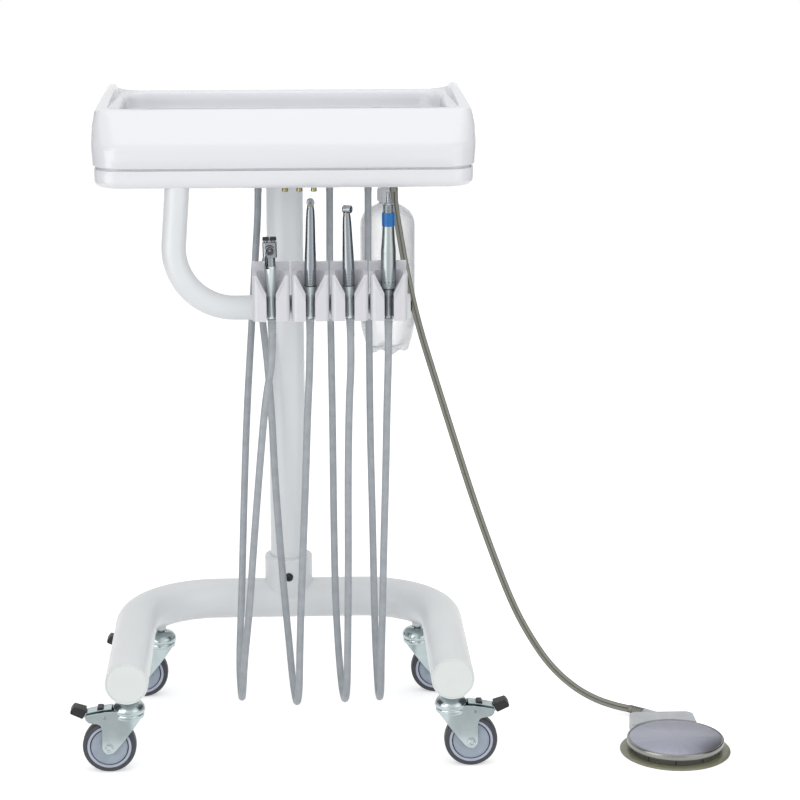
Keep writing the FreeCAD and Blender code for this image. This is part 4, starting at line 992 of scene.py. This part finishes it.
# ------------------------------------------------------------------ bent tube and holders
def bent_tube():
    """The bar of the holders: down from the pan, a bend and across to its closed end."""
    start, corner, end = Vector(BAR_START), Vector(BAR_CORNER), Vector(BAR_END)
    down, across, bend, lip = (corner - start).normalized(), Vector((1, 0, 0)), 85.0, 1.2
    angle = down.angle(across)
    setback = bend * math.tan(angle / 2)
    turning = corner - down * setback
    centre = turning + down.cross(Vector((0, 1, 0))).normalized() * bend
    form, rim = open_ring(17.5, Matrix.Translation(start * MM) @ down.to_track_quat("Z", "Y").to_matrix().to_4x4())
    rim = run_straight(form, rim, turning - start)
    rim = run_bend(form, rim, centre, (0, 1, 0), -angle, 18)
    rim = run_straight(form, rim, end - corner - across * (setback + lip))
    rim = run_straight(form, rim, across * lip)
    bmesh.ops.edgeloop_fill(form, edges=rim)
    return form


class DENTALUNIT_OT_holders(BuildOperator, Operator):
    """Bent tube, its end screw and four handpiece holders"""
    bl_idname = "dental_unit.holders"
    bl_label = "Holders"

    def build(self):
        piece("holder_tube", bent_tube(), "tube_paint", "cart", "holder_bar", PLATE_EDGE)
        screw = turned([(0, 1.2), (3.2, 1.2), (3.6, 2.6), (6.6, 3.0), (7.6, 2.3), (8, 1.0), (8, 0), (0, 0)], 40)
        placed(screw, pointing((1, 0, 0), *BAR_END))
        piece("holder_tube_screw", screw, "black", "cart", "holder_bar_plug")
        for number in range(1, 5):
            name = "holder_%d" % number
            refined(name + "_moulding", name, "holder_shell", sizes().edge * 1.4)


# ------------------------------------------------------------------ handpieces
def tail(seat):
    """Hose end of a handpiece, up to its seat in the holder."""
    return [(0, TAIL_Z), (4.4, TAIL_Z), (4.8, TAIL_Z + 0.6), (4.8, 646.6), (6.1, 649.6), (6.6, SEAT_Z),
            (seat, SEAT_Z + (seat - 6.6) * 2.388)]


def faced(profile, index, y, z, turn=0.0, make=turned):
    """Turned form whose axis runs towards the user, or turned from there; y is its base plane."""
    return placed(make(profile, 32), standing(index) @ Matrix.Rotation(math.radians(turn), 4, "Z")
                  @ Matrix.Translation(Vector((0, y - CUP_Y, z)) * MM) @ Matrix.Rotation(math.radians(90), 4, "X"))


class DENTALUNIT_OT_syringe(BuildOperator, Operator):
    """Air and water syringe with its nozzle nut and two buttons"""
    bl_idname = "dental_unit.syringe"
    bl_label = "Syringe"

    def build(self):
        handle = turned(tail(7.2) + [(7.2, 656), (7.35, 658), (8.5, 690.6), (8.6, 692), (8.2, 693), (0, 693)])
        neck = turned([(0, 692.4), (7.6, 692.4), (7.9, 694), (7.6, 697), (7.4, 706), (0, 706)])
        head = block(-10, 10, -7, 9, 705, 726.5, 4)
        clip = merged(block(-6.5, -4.5, -11, -7, 692, 708, 0.9), block(-6.5, -2.0, -11, -7, 690, 692, 0.6))
        for part, form, material, slot, bevel in (
                ("handle", handle, "syringe", "syringe", SMALL_EDGE),
                ("head", merged(neck, head), "instrument", "syringe", BLOCK_EDGE),
                ("clip", clip, "black", "black_plastic", SMALL_EDGE)):
            piece("syringe_" + part, placed(form, standing(0)), material, "syringe", "syringe_body", bevel)
        nut = faced([(0, 1.2), (1.9, 1.2), (1.9, 5.4), (2.2, 6.9), (3.6, 7), (4.2, 6.4), (4.2, 5.2), (4.9, 5.1),
                     (5.0, 4.9), (5.2, 5.0), (6.4, 4.6), (6.6, 4.0), (6.6, 0), (0, 0)], 0, NOZZLE_Y, NOZZLE_Z)
        piece("syringe_nozzle_nut", nut, "instrument", "nozzle", "syringe_nozzle", KEY_EDGE)
        # Black rings at the steps of the nozzle nut.
        dark_rings = [faced([(low, y), (low, y + 0.5), (high, y + 0.5), (high, y)], 0, NOZZLE_Y, NOZZLE_Z, make=hollow)
                 for low, high, y in ((2.3, 3.5, 6.75), (4.4, 5.5, 4.9), (6.2, 6.9, 3.4))]
        piece("syringe_nozzle_dark_rings", merged(*dark_rings), "black", "nozzle", None)
        for x, name in ((-5, "air"), (5, "water")):
            self.key(x, name)

    def key(self, x, name):
        stem = placed(rod(2.5, 720.5, 730), upright(x, 3))
        pad = block(x - 4.7, x + 4.7, -5, 8, 729, 732.2, 1.6)
        ridges = [block(x - 4.4, x + 4.4, y, y + 1.3, 731.9, 733, 0.4) for y in (-4.4, -2.0, 0.4, 2.8, 5.2)]
        grip = block(x - 4.8, x + 4.8, -5.2, -4.4, 729.4, 732.4, 0.3)
        title, body = "syringe_%s_key" % name, name + "_button"
        piece(title, placed(merged(stem, pad), standing(0)), "instrument", body, "syringe_" + body,
              KEY_EDGE)
        piece(title + "_grip", placed(merged(grip, *ridges), standing(0)), "black", body, None,
              GRIP_EDGE)


class DENTALUNIT_OT_turbines(BuildOperator, Operator):
    """Two high-speed handpieces on their quick couplings"""
    bl_idname = "dental_unit.turbines"
    bl_label = "High-speed handpieces"

    def build(self):
        for index, letter, top, turn in ((1, "a", 782.0, 0.0), (2, "b", 772.0, 65.0)):
            self.coupling(index, letter)
            self.handpiece(index, letter, top, turn)

    def coupling(self, index, letter):
        form = turned(tail(7.2) + [(7.2, 654.6), (6.9, 654.9), (6.9, 655.5), (7.2, 655.8), (7.2, 661.6), (7.5, 662.2),
                                   (7.5, 663.9), (0, 663.9)])
        piece("turbine_%s_quick_coupling" % letter, placed(form, standing(index)), "syringe", "coupling_" + letter,
              "turbine_%s_coupling" % letter, METAL_EDGE)

    def handpiece(self, index, letter, top, turn):
        place, neck = standing(index), top - 8
        name, body = "turbine_" + letter, "handpiece_" + letter
        barrel = turned([(0, 664), (7.7, 664), (8.3, 664.6), (8.4, 666), (8.0, 666.6), (8.0, 667.4), (8.4, 668),
                         (8.4, 690), (8.1, 704), (7.2, 726), (6.4, neck - 16), (5.6, neck - 3), (4.8, neck + 1),
                         (4.2, neck + 3), (0, neck + 3)])
        grips = [turned([(8.2, z), (8.5, z + 0.3), (8.5, z + 0.9), (8.2, z + 1.2)]) for z in (672, 676, 680)]
        head = faced([(0, -5.0), (3.0, -5.0), (3.4, -4.2), (4.6, -5.2), (5.3, -4.4), (5.6, -3.0), (5.6, 6.0),
                      (5.2, 7.2), (3.6, 7.8), (1.9, 7.8), (1.5, 7.2), (0.8, 7.2), (0.8, 0.0), (0, 0.0)],
                     index, CUP_Y, top, turn)
        ring = hollow([(7.6, 663.4), (8.5, 663.6), (8.7, 664.2), (8.5, 664.8), (7.6, 665.0)])
        piece(name + "_seal_ring", placed(ring, place), "black", body, None)
        whole = merged(placed(barrel, place), placed(rod(4.0, neck, top - 2, 32), place), head,
                       *[placed(grip, place) for grip in grips])
        piece(name + "_handpiece", whole, "instrument", body, name, METAL_EDGE)
        jets = hollow([(4.7, neck + 1.2), (5.0, neck + 1.5), (5.0, neck + 2.7), (4.3, neck + 3.2)], 32)
        piece(name + "_jet_ring", placed(jets, place), "brass", body, None)


class DENTALUNIT_OT_motor(BuildOperator, Operator):
    """Low-speed motor with its straight drive"""
    bl_idname = "dental_unit.motor"
    bl_label = "Low-speed handpiece"

    def build(self):
        place = standing(3)
        sleeve_form = turned(tail(10.6)[:-1] + [
            (7.4, 652.9), (7.4, 658), (10.2, 659.8), (10.6, 661), (10.6, 664.4), (10.3, 664.7), (10.3, 665.3),
            (10.7, 665.6), (10.7, 672.6), (10.4, 673), (10.4, 673.8), (10.7, 674.2), (10.7, 709), (10.4, 709.5),
            (10.4, 710.1), (10.7, 710.6), (10.5, 714), (9.6, 724), (8.8, 736), (8.4, 745), (8.2, 748), (0, 748)], 56)
        piece("motor_sleeve", placed(sleeve_form, place), "motor", "motor", "low_speed_motor", METAL_EDGE)
        dots = [placed(turned([(0, -0.2), (0.9, -0.2), (0.9, 0.35), (0.5, 0.5), (0, 0.5)], 12),
                       place @ upright(0, 0, 0, angle) @ pointing((1, 0, 0), 10.6, 0, 669.2))
                for angle in range(0, 360, 30)]
        seal = hollow([(7.5, 658.2), (9.6, 658.6), (10.0, 659.3), (9.6, 660.0), (7.5, 660.2)])
        piece("motor_seal_ring", placed(seal, place), "black", "motor", None)
        piece("motor_grip_dots", merged(*dots), "black", "motor", None)
        ring = turned([(0, 748), (8.8, 748), (9.1, 748.6), (9.1, 752), (8.9, 752.4), (8.9, 753), (9.1, 753.4),
                       (9.1, 766.2), (8.7, 767), (0, 767)])
        piece("drive_blue_ring", placed(ring, place), "blue_ring", "contra", "contra_angle", SMALL_EDGE)
        nose = [(0, 767), (7.8, 767)]
        for groove in range(4):
            z = 768.0 + 2.2 * groove
            nose += [(7.8, z), (7.3, z + 0.4), (7.3, z + 1.0), (7.8, z + 1.4)]
        nose += [(7.8, 777), (7.0, 778.6), (3.6, 780.6), (3.2, 782), (3.2, 788), (2.6, 789), (2.6, 795), (2.0, 796),
                 (0, 796)]
        piece("drive_nose", placed(turned(nose), place), "instrument", "contra", "contra_angle",
              METAL_EDGE)


# ------------------------------------------------------------------ hoses
LOOPS = (
    ((-39, 38, 785), (-39, 38, 738), (-45, 29, 655), (-52, 10, 550), (-60, -16, 435), (-66, -48, 300),
     (-70, -76, 185), (-74, -98, 105), (-75, -106, 63), (-73, -129, 37), (-71, -163, 37),
     (-69, -186, 63), (-66, -191, 110), (-58, -191, 180), (-50, -194, 285), (-40, -197, 400),
     (-30, -198, 505)),
    ((9.8, 38, 785), (9.8, 38, 748), (-10, 35, 703), (-32, 22, 658), (-38, 2, 612), (-34, -20, 570),
     (-28, -41, 518), (-23, -55, 450), (-19, -68, 350), (-12, -86, 240), (-4, -102, 140),
     (0, -106, 95), (3, -109, 55), (7, -131, 29), (10, -164, 29), (13, -187, 54),
     (14, -192, 100), (16, -193, 165), (20, -194, 260), (25, -196, 370), (29, -198, 480)),
    ((67, 38, 785), (67, 38, 738), (66, 26, 650), (67, 5, 535), (68, -22, 405), (68, -52, 280),
     (69, -82, 170), (72, -98, 103), (75, -106, 58), (78, -129, 32), (81, -163, 32),
     (83, -186, 57), (84, -191, 105), (85, -192, 170), (86, -194, 270), (86, -197, 385),
     (88, -198, 495)),
    ((124, 38, 785), (124, 38, 738), (123, 26, 650), (124, 5, 535), (124, -22, 405), (126, -50, 285),
     (127, -80, 175), (128, -98, 104), (130, -107, 60), (131, -130, 34), (132, -163, 34),
     (133, -186, 59), (133, -191, 105), (135, -193, 175), (137, -195, 280), (140, -197, 390),
     (142, -198, 500)))

FOOT_ROUTE = ((162, 35, 785), (162, 35, 748), (170, 29, 700), (181, 24, 635), (198, 14, 560), (221, 1, 485),
              (249, -15, 395), (279, -32, 300), (308, -49, 218), (337, -66, 144),
              (363, -81, 97), (391, -97, 58), (424, -116, 31), (456, -135, 17),
              (486, -149, 11), (507, -160, 10), (524, -176, 10))


def tail_point(index, below):
    """Point on a handpiece's axis, that far below its tail, in millimetres."""
    drop = SEAT_Z - TAIL_Z - SEAT_LIFT + below
    angle = math.radians(LEAN[index])
    return (HOLDER_X[index] + drop * math.sin(angle), CUP_Y, SEAT_Z - drop * math.cos(angle))


def route_points(route):
    """Points along one smooth line over a hose's route."""
    data = bpy.data.curves.new("route", "CURVE")
    data.dimensions = "3D"
    data.resolution_u = 12
    spline = data.splines.new("NURBS")
    spline.points.add(len(route) - 1)
    for point, (x, y, z) in zip(spline.points, route):
        point.co = (x * MM, y * MM, z * MM, 1.0)
    spline.order_u = 3
    spline.use_endpoint_u = True
    line = shown("route", data)
    mesh = bpy.data.meshes.new_from_object(line)
    points = [v.co.copy() for v in mesh.vertices]
    bpy.data.objects.remove(line)
    bpy.data.curves.remove(data)
    bpy.data.meshes.remove(mesh)
    return points


def sleeve(start, towards, wide, narrow):
    """Tapered strain relief with five rings, from its wide end at the start."""
    length = sizes().relief / MM
    shares = [(narrow - 0.8, 0), (wide, 0), (wide + 0.1, 0.06)]
    for ring in range(5):
        low = 0.12 + 0.15 * ring
        r = wide + (narrow - wide) * (low + 0.075)
        shares += [(r, low), (r - 0.45, low + 0.03), (r - 0.45, low + 0.06), (r - 0.05, low + 0.09)]
    shares += [(narrow + 0.05, 0.96), (narrow, 1.0), (narrow - 0.8, 1.0)]
    profile = [(r, share * length) for r, share in shares]
    return placed(hollow(profile, 32), pointing(Vector(towards) - Vector(start), *start))


class DENTALUNIT_OT_hoses(BuildOperator, Operator):
    """Four instrument hoses that hang in loops, and their sleeves"""
    bl_idname = "dental_unit.hoses"
    bl_label = "Instrument hoses"

    def build(self):
        radius = sizes().hose / 2
        section = [(radius * math.cos(math.pi * k / 8), radius * math.sin(math.pi * k / 8)) for k in range(16)]
        for index, body in enumerate(("syringe", "coupling_a", "coupling_b", "motor")):
            route = LOOPS[index] + (tail_point(index, 60), tail_point(index, 0))
            name = "hose_%d" % (index + 1)
            points = route_points(route)
            hose = piece(name + "_tube", swept(points, section), "hose", None, name, sharp=TUBE_CREASE)
            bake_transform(hose)
            grip = piece(name + "_handpiece_sleeve", sleeve(route[-1], route[-2], 6.3, 5.35), "hose", body, None)
            upper = piece(name + "_upper_sleeve", sleeve(route[0], route[1], 7.0, 5.35), "hose", "cart", None)


class DENTALUNIT_OT_foot_hose(BuildOperator, Operator):
    """Twin hose that runs down to the foot control"""
    bl_idname = "dental_unit.foot_hose"
    bl_label = "Foot hose"

    def build(self):
        points = route_points(FOOT_ROUTE)
        half, height = sizes().twin_width / 2, sizes().twin_height / 2
        angles = [math.radians(160.0 - 320.0 * k / 11) for k in range(12)]
        tube = [(half - height + height * math.cos(a), height * math.sin(a)) for a in angles]
        form = swept(points, tube + [(-x, -y) for x, y in tube])
        hose = piece("foot_hose_twin", form, "foot_hose", None, "foot_hose", sharp=TUBE_CREASE)
        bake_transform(hose)
        upper = piece("foot_hose_upper_sleeve", sleeve(FOOT_ROUTE[0], FOOT_ROUTE[1], 7.6, 6.0), "foot_hose", "cart",
                      None)
        lower = piece("foot_hose_lower_sleeve", sleeve(FOOT_ROUTE[-1], FOOT_ROUTE[-2], 6.8, 6.0), "foot_hose",
                      "foot_control", None)


# ------------------------------------------------------------------ bottle
LOBES_TOP = 540.0


class DENTALUNIT_OT_bottle(BuildOperator, Operator):
    """Clear water bottle under its cap"""
    bl_idname = "dental_unit.bottle"
    bl_label = "Water bottle"

    def build(self):
        place = upright(*BOTTLE)
        shell = turned([(0, 512), (9, 510), (18, 506.5), (27, 505), (32, 509), (35, 519), (38.6, 532), (41, 543),
                        (42, 552), (42, 560), (41.6, 562), (41.6, 564), (42, 566), (42, 640), (41.7, 642), (41.7, 644),
                        (42, 646), (42, 698), (41.4, 706), (39, 714), (34, 721.5), (27, 727), (19, 731.5), (14, 734),
                        (12.5, 737), (12.5, 752), (11.4, 752), (11.4, 737), (13, 733)], 80)
        for vert in shell.verts:
            z, reach = vert.co.z / MM, vert.co.xy.length / MM
            if z < LOBES_TOP and reach > 8:
                lobe = 0.5 - 0.5 * math.cos(5 * math.atan2(vert.co.y, vert.co.x) + 0.6)
                vert.co.z += 7.0 * MM * lobe * (LOBES_TOP - z) / 35.0 * min(1.0, reach / 26)
        bottle = piece("clear_bottle", placed(shell, place), "clear_bottle", "bottle", "water_bottle",
                       sharp=TUBE_CREASE)
        walled(bottle, 1.1, -1.0)
        cap = hollow([(13.2, 737), (15.2, 737), (15.5, 737.6), (15.5, 755.4), (14.6, 757), (11, 757.4), (11, 788),
                      (17.4, 789), (18, 790), (18, PAN_Z), (0, PAN_Z), (0, 756), (13.2, 756)], 60)
        ribs = [placed(block(-0.5, 0.5, 14.9, 16.0, 739, 754, 0.3), upright(0, 0, 0, angle))
                for angle in range(0, 360, 15)]
        piece("bottle_screw_cap", placed(merged(cap, *ribs), place), "head_shell", "cart", "bottle_cap",
              SMALL_EDGE)
        piece("bottle_dip_tube", placed(pipe(1.8, 3, 535, 756, 24), place), "hose", "cart", None)


# ------------------------------------------------------------------ foot control
class DENTALUNIT_OT_foot_control(BuildOperator, Operator):
    """Round foot control with its pressed disc and hose housing"""
    bl_idname = "dental_unit.foot_control"
    bl_label = "Foot control"

    def build(self):
        place = upright(*FOOT_CONTROL)
        skirt = hollow([(0, 0), (78, 0), (79, 0.8), (79, 1.6), (77.6, 2.6), (70, 3), (0, 3)], 96)
        drum = hollow([(61, 3), (64, 3), (65, 3.8), (65, 6.6), (64.3, 7.0), (64.3, 7.6), (65, 8.0), (65, 12.4),
                       (64.4, 13), (61, 13)], 96)
        # Black blocks on the drum wall where its slots are: painted shade for the dark openings.
        slot_shade = merged(*[placed(block(64.6, 65.25, -0.9, 0.9, 3.4, 12.6), upright(0, 0, 0, angle))
                         for angle in range(10, 370, 36)])
        for part, form, material in (("skirt", skirt, "skirt"), ("drum", drum, "drum"), ("slot_shade", slot_shade, "black")):
            piece("foot_control_" + part, placed(form, place), material, "foot_control", "pedal_base")
        dressed("pedal_valve")
        face = hollow([(0, 20), (65.4, 20), (65.8, 19.7), (65.8, 18.4), (0, 18.4)], 96)
        rim = hollow([(65.8, 19.0), (66.5, 19.0), (66.8, 19.9), (67.6, 20.0), (68.6, 19.7), (69.3, 18.8), (69.3, 12.0),
                      (68.9, 11.2), (68.0, 11), (67.0, 11.2), (66.8, 12), (66.8, 17.8), (65.8, 18.0)], 112)
        for part, form, material, bevel in (("face", face, "disc", 0.0), ("rim", rim, "disc_rim", 0.0),
                                            ("stem", rod(6, 10, 18.6, 32), "steel", SMALL_EDGE)):
            piece("foot_disc_" + part, placed(form, place), material, "foot_disc", "pedal_disc", bevel)
        refined("foot_control_housing", "pedal_housing", "housing", HOUSING_EDGE)


# ------------------------------------------------------------------ stage
# Camera place in millimetres and tilt in degrees; its lens is a focal length in pixels of an 800 pixel frame.
CAMERA, CAMERA_TILT = (-2.18, -3600.0, 1347.04), (76.0, 0.0, -2.734)
SENSOR = 36.0
CAMERA_LENS = SENSOR * 2473.22 / 800.0
WHITE = (1.0, 1.0, 1.0, 1.0)
FLOOR_GLOW, LIGHT_AHEAD, LIGHT_BEHIND = 0.42, 0.98, 0.42
# Name, place, target, size in metres and watts.
LAMPS = (("key", (-1.9, -2.9, 2.1), (0.0, -0.1, 0.45), 1.6, 12.0),
         ("fill", (2.4, -2.6, 1.2), (0.1, -0.1, 0.4), 2.0, 8.0),
         ("top", (0.2, 0.3, 3.0), (0.0, -0.1, 0.8), 1.8, 9.0))
# Name, place, width and height, rotation, tone and glow.
CARDS = (("side_card_left", (-1.5, 0.55, 1.1), (2.5, 2.2), (90, 0, 90), 0.10, 0.0),
         ("floor_card_left", (-0.36, -1.95, 0.004), (0.44, 3.0), (0, 0, 0), 0.93, 0.0),
         ("side_card_right", (1.5, 0.55, 1.1), (2.5, 2.2), (90, 0, 90), 0.10, 0.0),
         ("floor_card_right", (0.36, -1.95, 0.004), (0.44, 3.0), (0, 0, 0), 0.93, 0.0),
         ("strip_card", (-1.6, -1.5, 0.45), (1.5, 1.1), (90, 0, -50), 0.5, 2.4))


def lamp(name, place, target, size, watts):
    data = bpy.data.lights.new(name, "AREA")
    data.size = size
    data.energy = watts
    made = shown(name, data)
    made.location = place
    made.rotation_euler = (Vector(place) - Vector(target)).to_track_quat("Z", "Y").to_euler()


def sheet(name, size, place=Matrix.Identity(4)):
    """A flat square of a size in metres, put in the scene."""
    form = bmesh.new()
    bmesh.ops.create_grid(form, x_segments=1, y_segments=1, size=size)
    return shown(name, mesh_of(name, placed(form, place)))


def shade_card(name, place, size, turn, tone, glow):
    """Panel that only polished surfaces show; turn is its rotation in degrees."""
    spin = Euler([math.radians(a) for a in turn]).to_matrix().to_4x4()
    card = sheet(name, 0.5, Matrix.Translation(place) @ spin @ Matrix.Diagonal((*size, 1.0, 1.0)))
    colour = (tone, tone, tone * 1.03)
    material = base_finish(name, colour, 0.9, Specular_IOR_Level=0.0, Emission_Color=WHITE, Emission_Strength=glow)
    tint(material, grain(material, 1.4, detail=1.0), colour, 0.2)
    card.data.materials.append(material)
    card.visible_camera = card.visible_diffuse = card.visible_shadow = card.visible_transmission = False


def seen_directly(owner):
    """One for the rays of the camera and of polished and clear surfaces, else nought."""
    paths = node(owner, "ShaderNodeLightPath")
    level = paths.outputs["Is Camera Ray"]
    for ray in ("Is Glossy Ray", "Is Transmission Ray"):
        larger = node(owner, "ShaderNodeMath", "MAXIMUM")
        wire(owner, level, larger.inputs[0])
        wire(owner, paths.outputs[ray], larger.inputs[1])
        level = larger.outputs["Value"]
    return level


def studio_floor():
    """Floor that keeps a soft shadow on a white ground."""
    floor = sheet("studio_floor", 9.0)
    material = base_finish("studio_floor", colours().floor, 0.9, Specular_IOR_Level=0.0)
    glow = node(material, "ShaderNodeEmission", Color=WHITE)
    strength = node(material, "ShaderNodeMath", "MULTIPLY")
    strength.inputs[1].default_value = FLOOR_GLOW
    wire(material, seen_directly(material), strength.inputs[0])
    wire(material, strength.outputs["Value"], glow.inputs["Strength"])
    total = node(material, "ShaderNodeAddShader")
    wire(material, shader_of(material).outputs["BSDF"], total.inputs[0])
    wire(material, glow.outputs["Emission"], total.inputs[1])
    wire(material, total.outputs["Shader"], material.node_tree.nodes["Material Output"].inputs["Surface"])
    floor.data.materials.append(material)


def studio_world():
    """Surround: plain white where it is seen, softer where it only lights, and softest from behind."""
    world = bpy.data.worlds.new("studio")
    world.use_nodes = True
    bpy.context.scene.world = world
    back = world.node_tree.nodes["Background"]
    back.inputs["Color"].default_value = WHITE
    place = node(world, "ShaderNodeTexCoord")
    split = node(world, "ShaderNodeSeparateXYZ")
    wire(world, place.outputs["Generated"], split.inputs["Vector"])
    depth = node(world, "ShaderNodeMapRange", From_Min=-1.0, To_Min=LIGHT_AHEAD, To_Max=LIGHT_BEHIND)
    wire(world, split.outputs["Y"], depth.inputs["Value"])
    level = node(world, "ShaderNodeMapRange", To_Max=1.0)
    wire(world, depth.outputs["Result"], level.inputs["To Min"])
    wire(world, seen_directly(world), level.inputs["Value"])
    wire(world, level.outputs["Result"], back.inputs["Strength"])


class DENTALUNIT_OT_stage(BuildOperator, Operator):
    """Floor, surround, lamps and camera"""
    bl_idname = "dental_unit.stage"
    bl_label = "Stage"

    def build(self):
        scene = bpy.context.scene
        scene.view_settings.view_transform = "Standard"
        studio_world()
        studio_floor()
        for values in LAMPS:
            lamp(*values)
        for values in CARDS:
            shade_card(*values)
        data = bpy.data.cameras.new("camera")
        data.sensor_width = SENSOR
        data.lens = CAMERA_LENS
        camera = shown("camera", data)
        camera.location = Vector(CAMERA) * MM
        camera.rotation_euler = [math.radians(a) for a in CAMERA_TILT]
        scene.camera = camera


# ------------------------------------------------------------------ panel and main
OPERATORS = (
    DENTALUNIT_OT_base, DENTALUNIT_OT_column, DENTALUNIT_OT_castors, DENTALUNIT_OT_head,
    DENTALUNIT_OT_fittings, DENTALUNIT_OT_holders, DENTALUNIT_OT_syringe, DENTALUNIT_OT_turbines,
    DENTALUNIT_OT_motor, DENTALUNIT_OT_hoses, DENTALUNIT_OT_foot_hose, DENTALUNIT_OT_bottle,
    DENTALUNIT_OT_foot_control, DENTALUNIT_OT_stage)


class DENTALUNIT_PT_panel(Panel):
    """Sidebar list of the builders and their settings"""
    bl_idname = "DENTALUNIT_PT_panel"
    bl_label = "Dental unit"
    bl_space_type = "VIEW_3D"
    bl_region_type = "UI"
    bl_category = "Dental unit"

    def draw(self, context):
        layout = self.layout
        for operator in OPERATORS:
            layout.operator(operator.bl_idname)
        for group in (context.scene.dental_unit_sizes, context.scene.dental_unit_colours):
            column = layout.column()
            for name in group.bl_rna.properties.keys():
                if name not in {"rna_type", "name"}:
                    column.prop(group, name)


CLASSES = (DentalUnitColours, DentalUnitSizes, *OPERATORS, DENTALUNIT_PT_panel)


def register():
    for cls in CLASSES:
        bpy.utils.register_class(cls)
    bpy.types.Scene.dental_unit_colours = PointerProperty(type=DentalUnitColours)
    bpy.types.Scene.dental_unit_sizes = PointerProperty(type=DentalUnitSizes)


def unregister():
    del bpy.types.Scene.dental_unit_colours
    del bpy.types.Scene.dental_unit_sizes
    for cls in reversed(CLASSES):
        bpy.utils.unregister_class(cls)


def main():
    register()
    for operator in OPERATORS:
        group, name = operator.bl_idname.split(".")
        getattr(getattr(bpy.ops, group), name)()


if __name__ == "__main__":
    main()
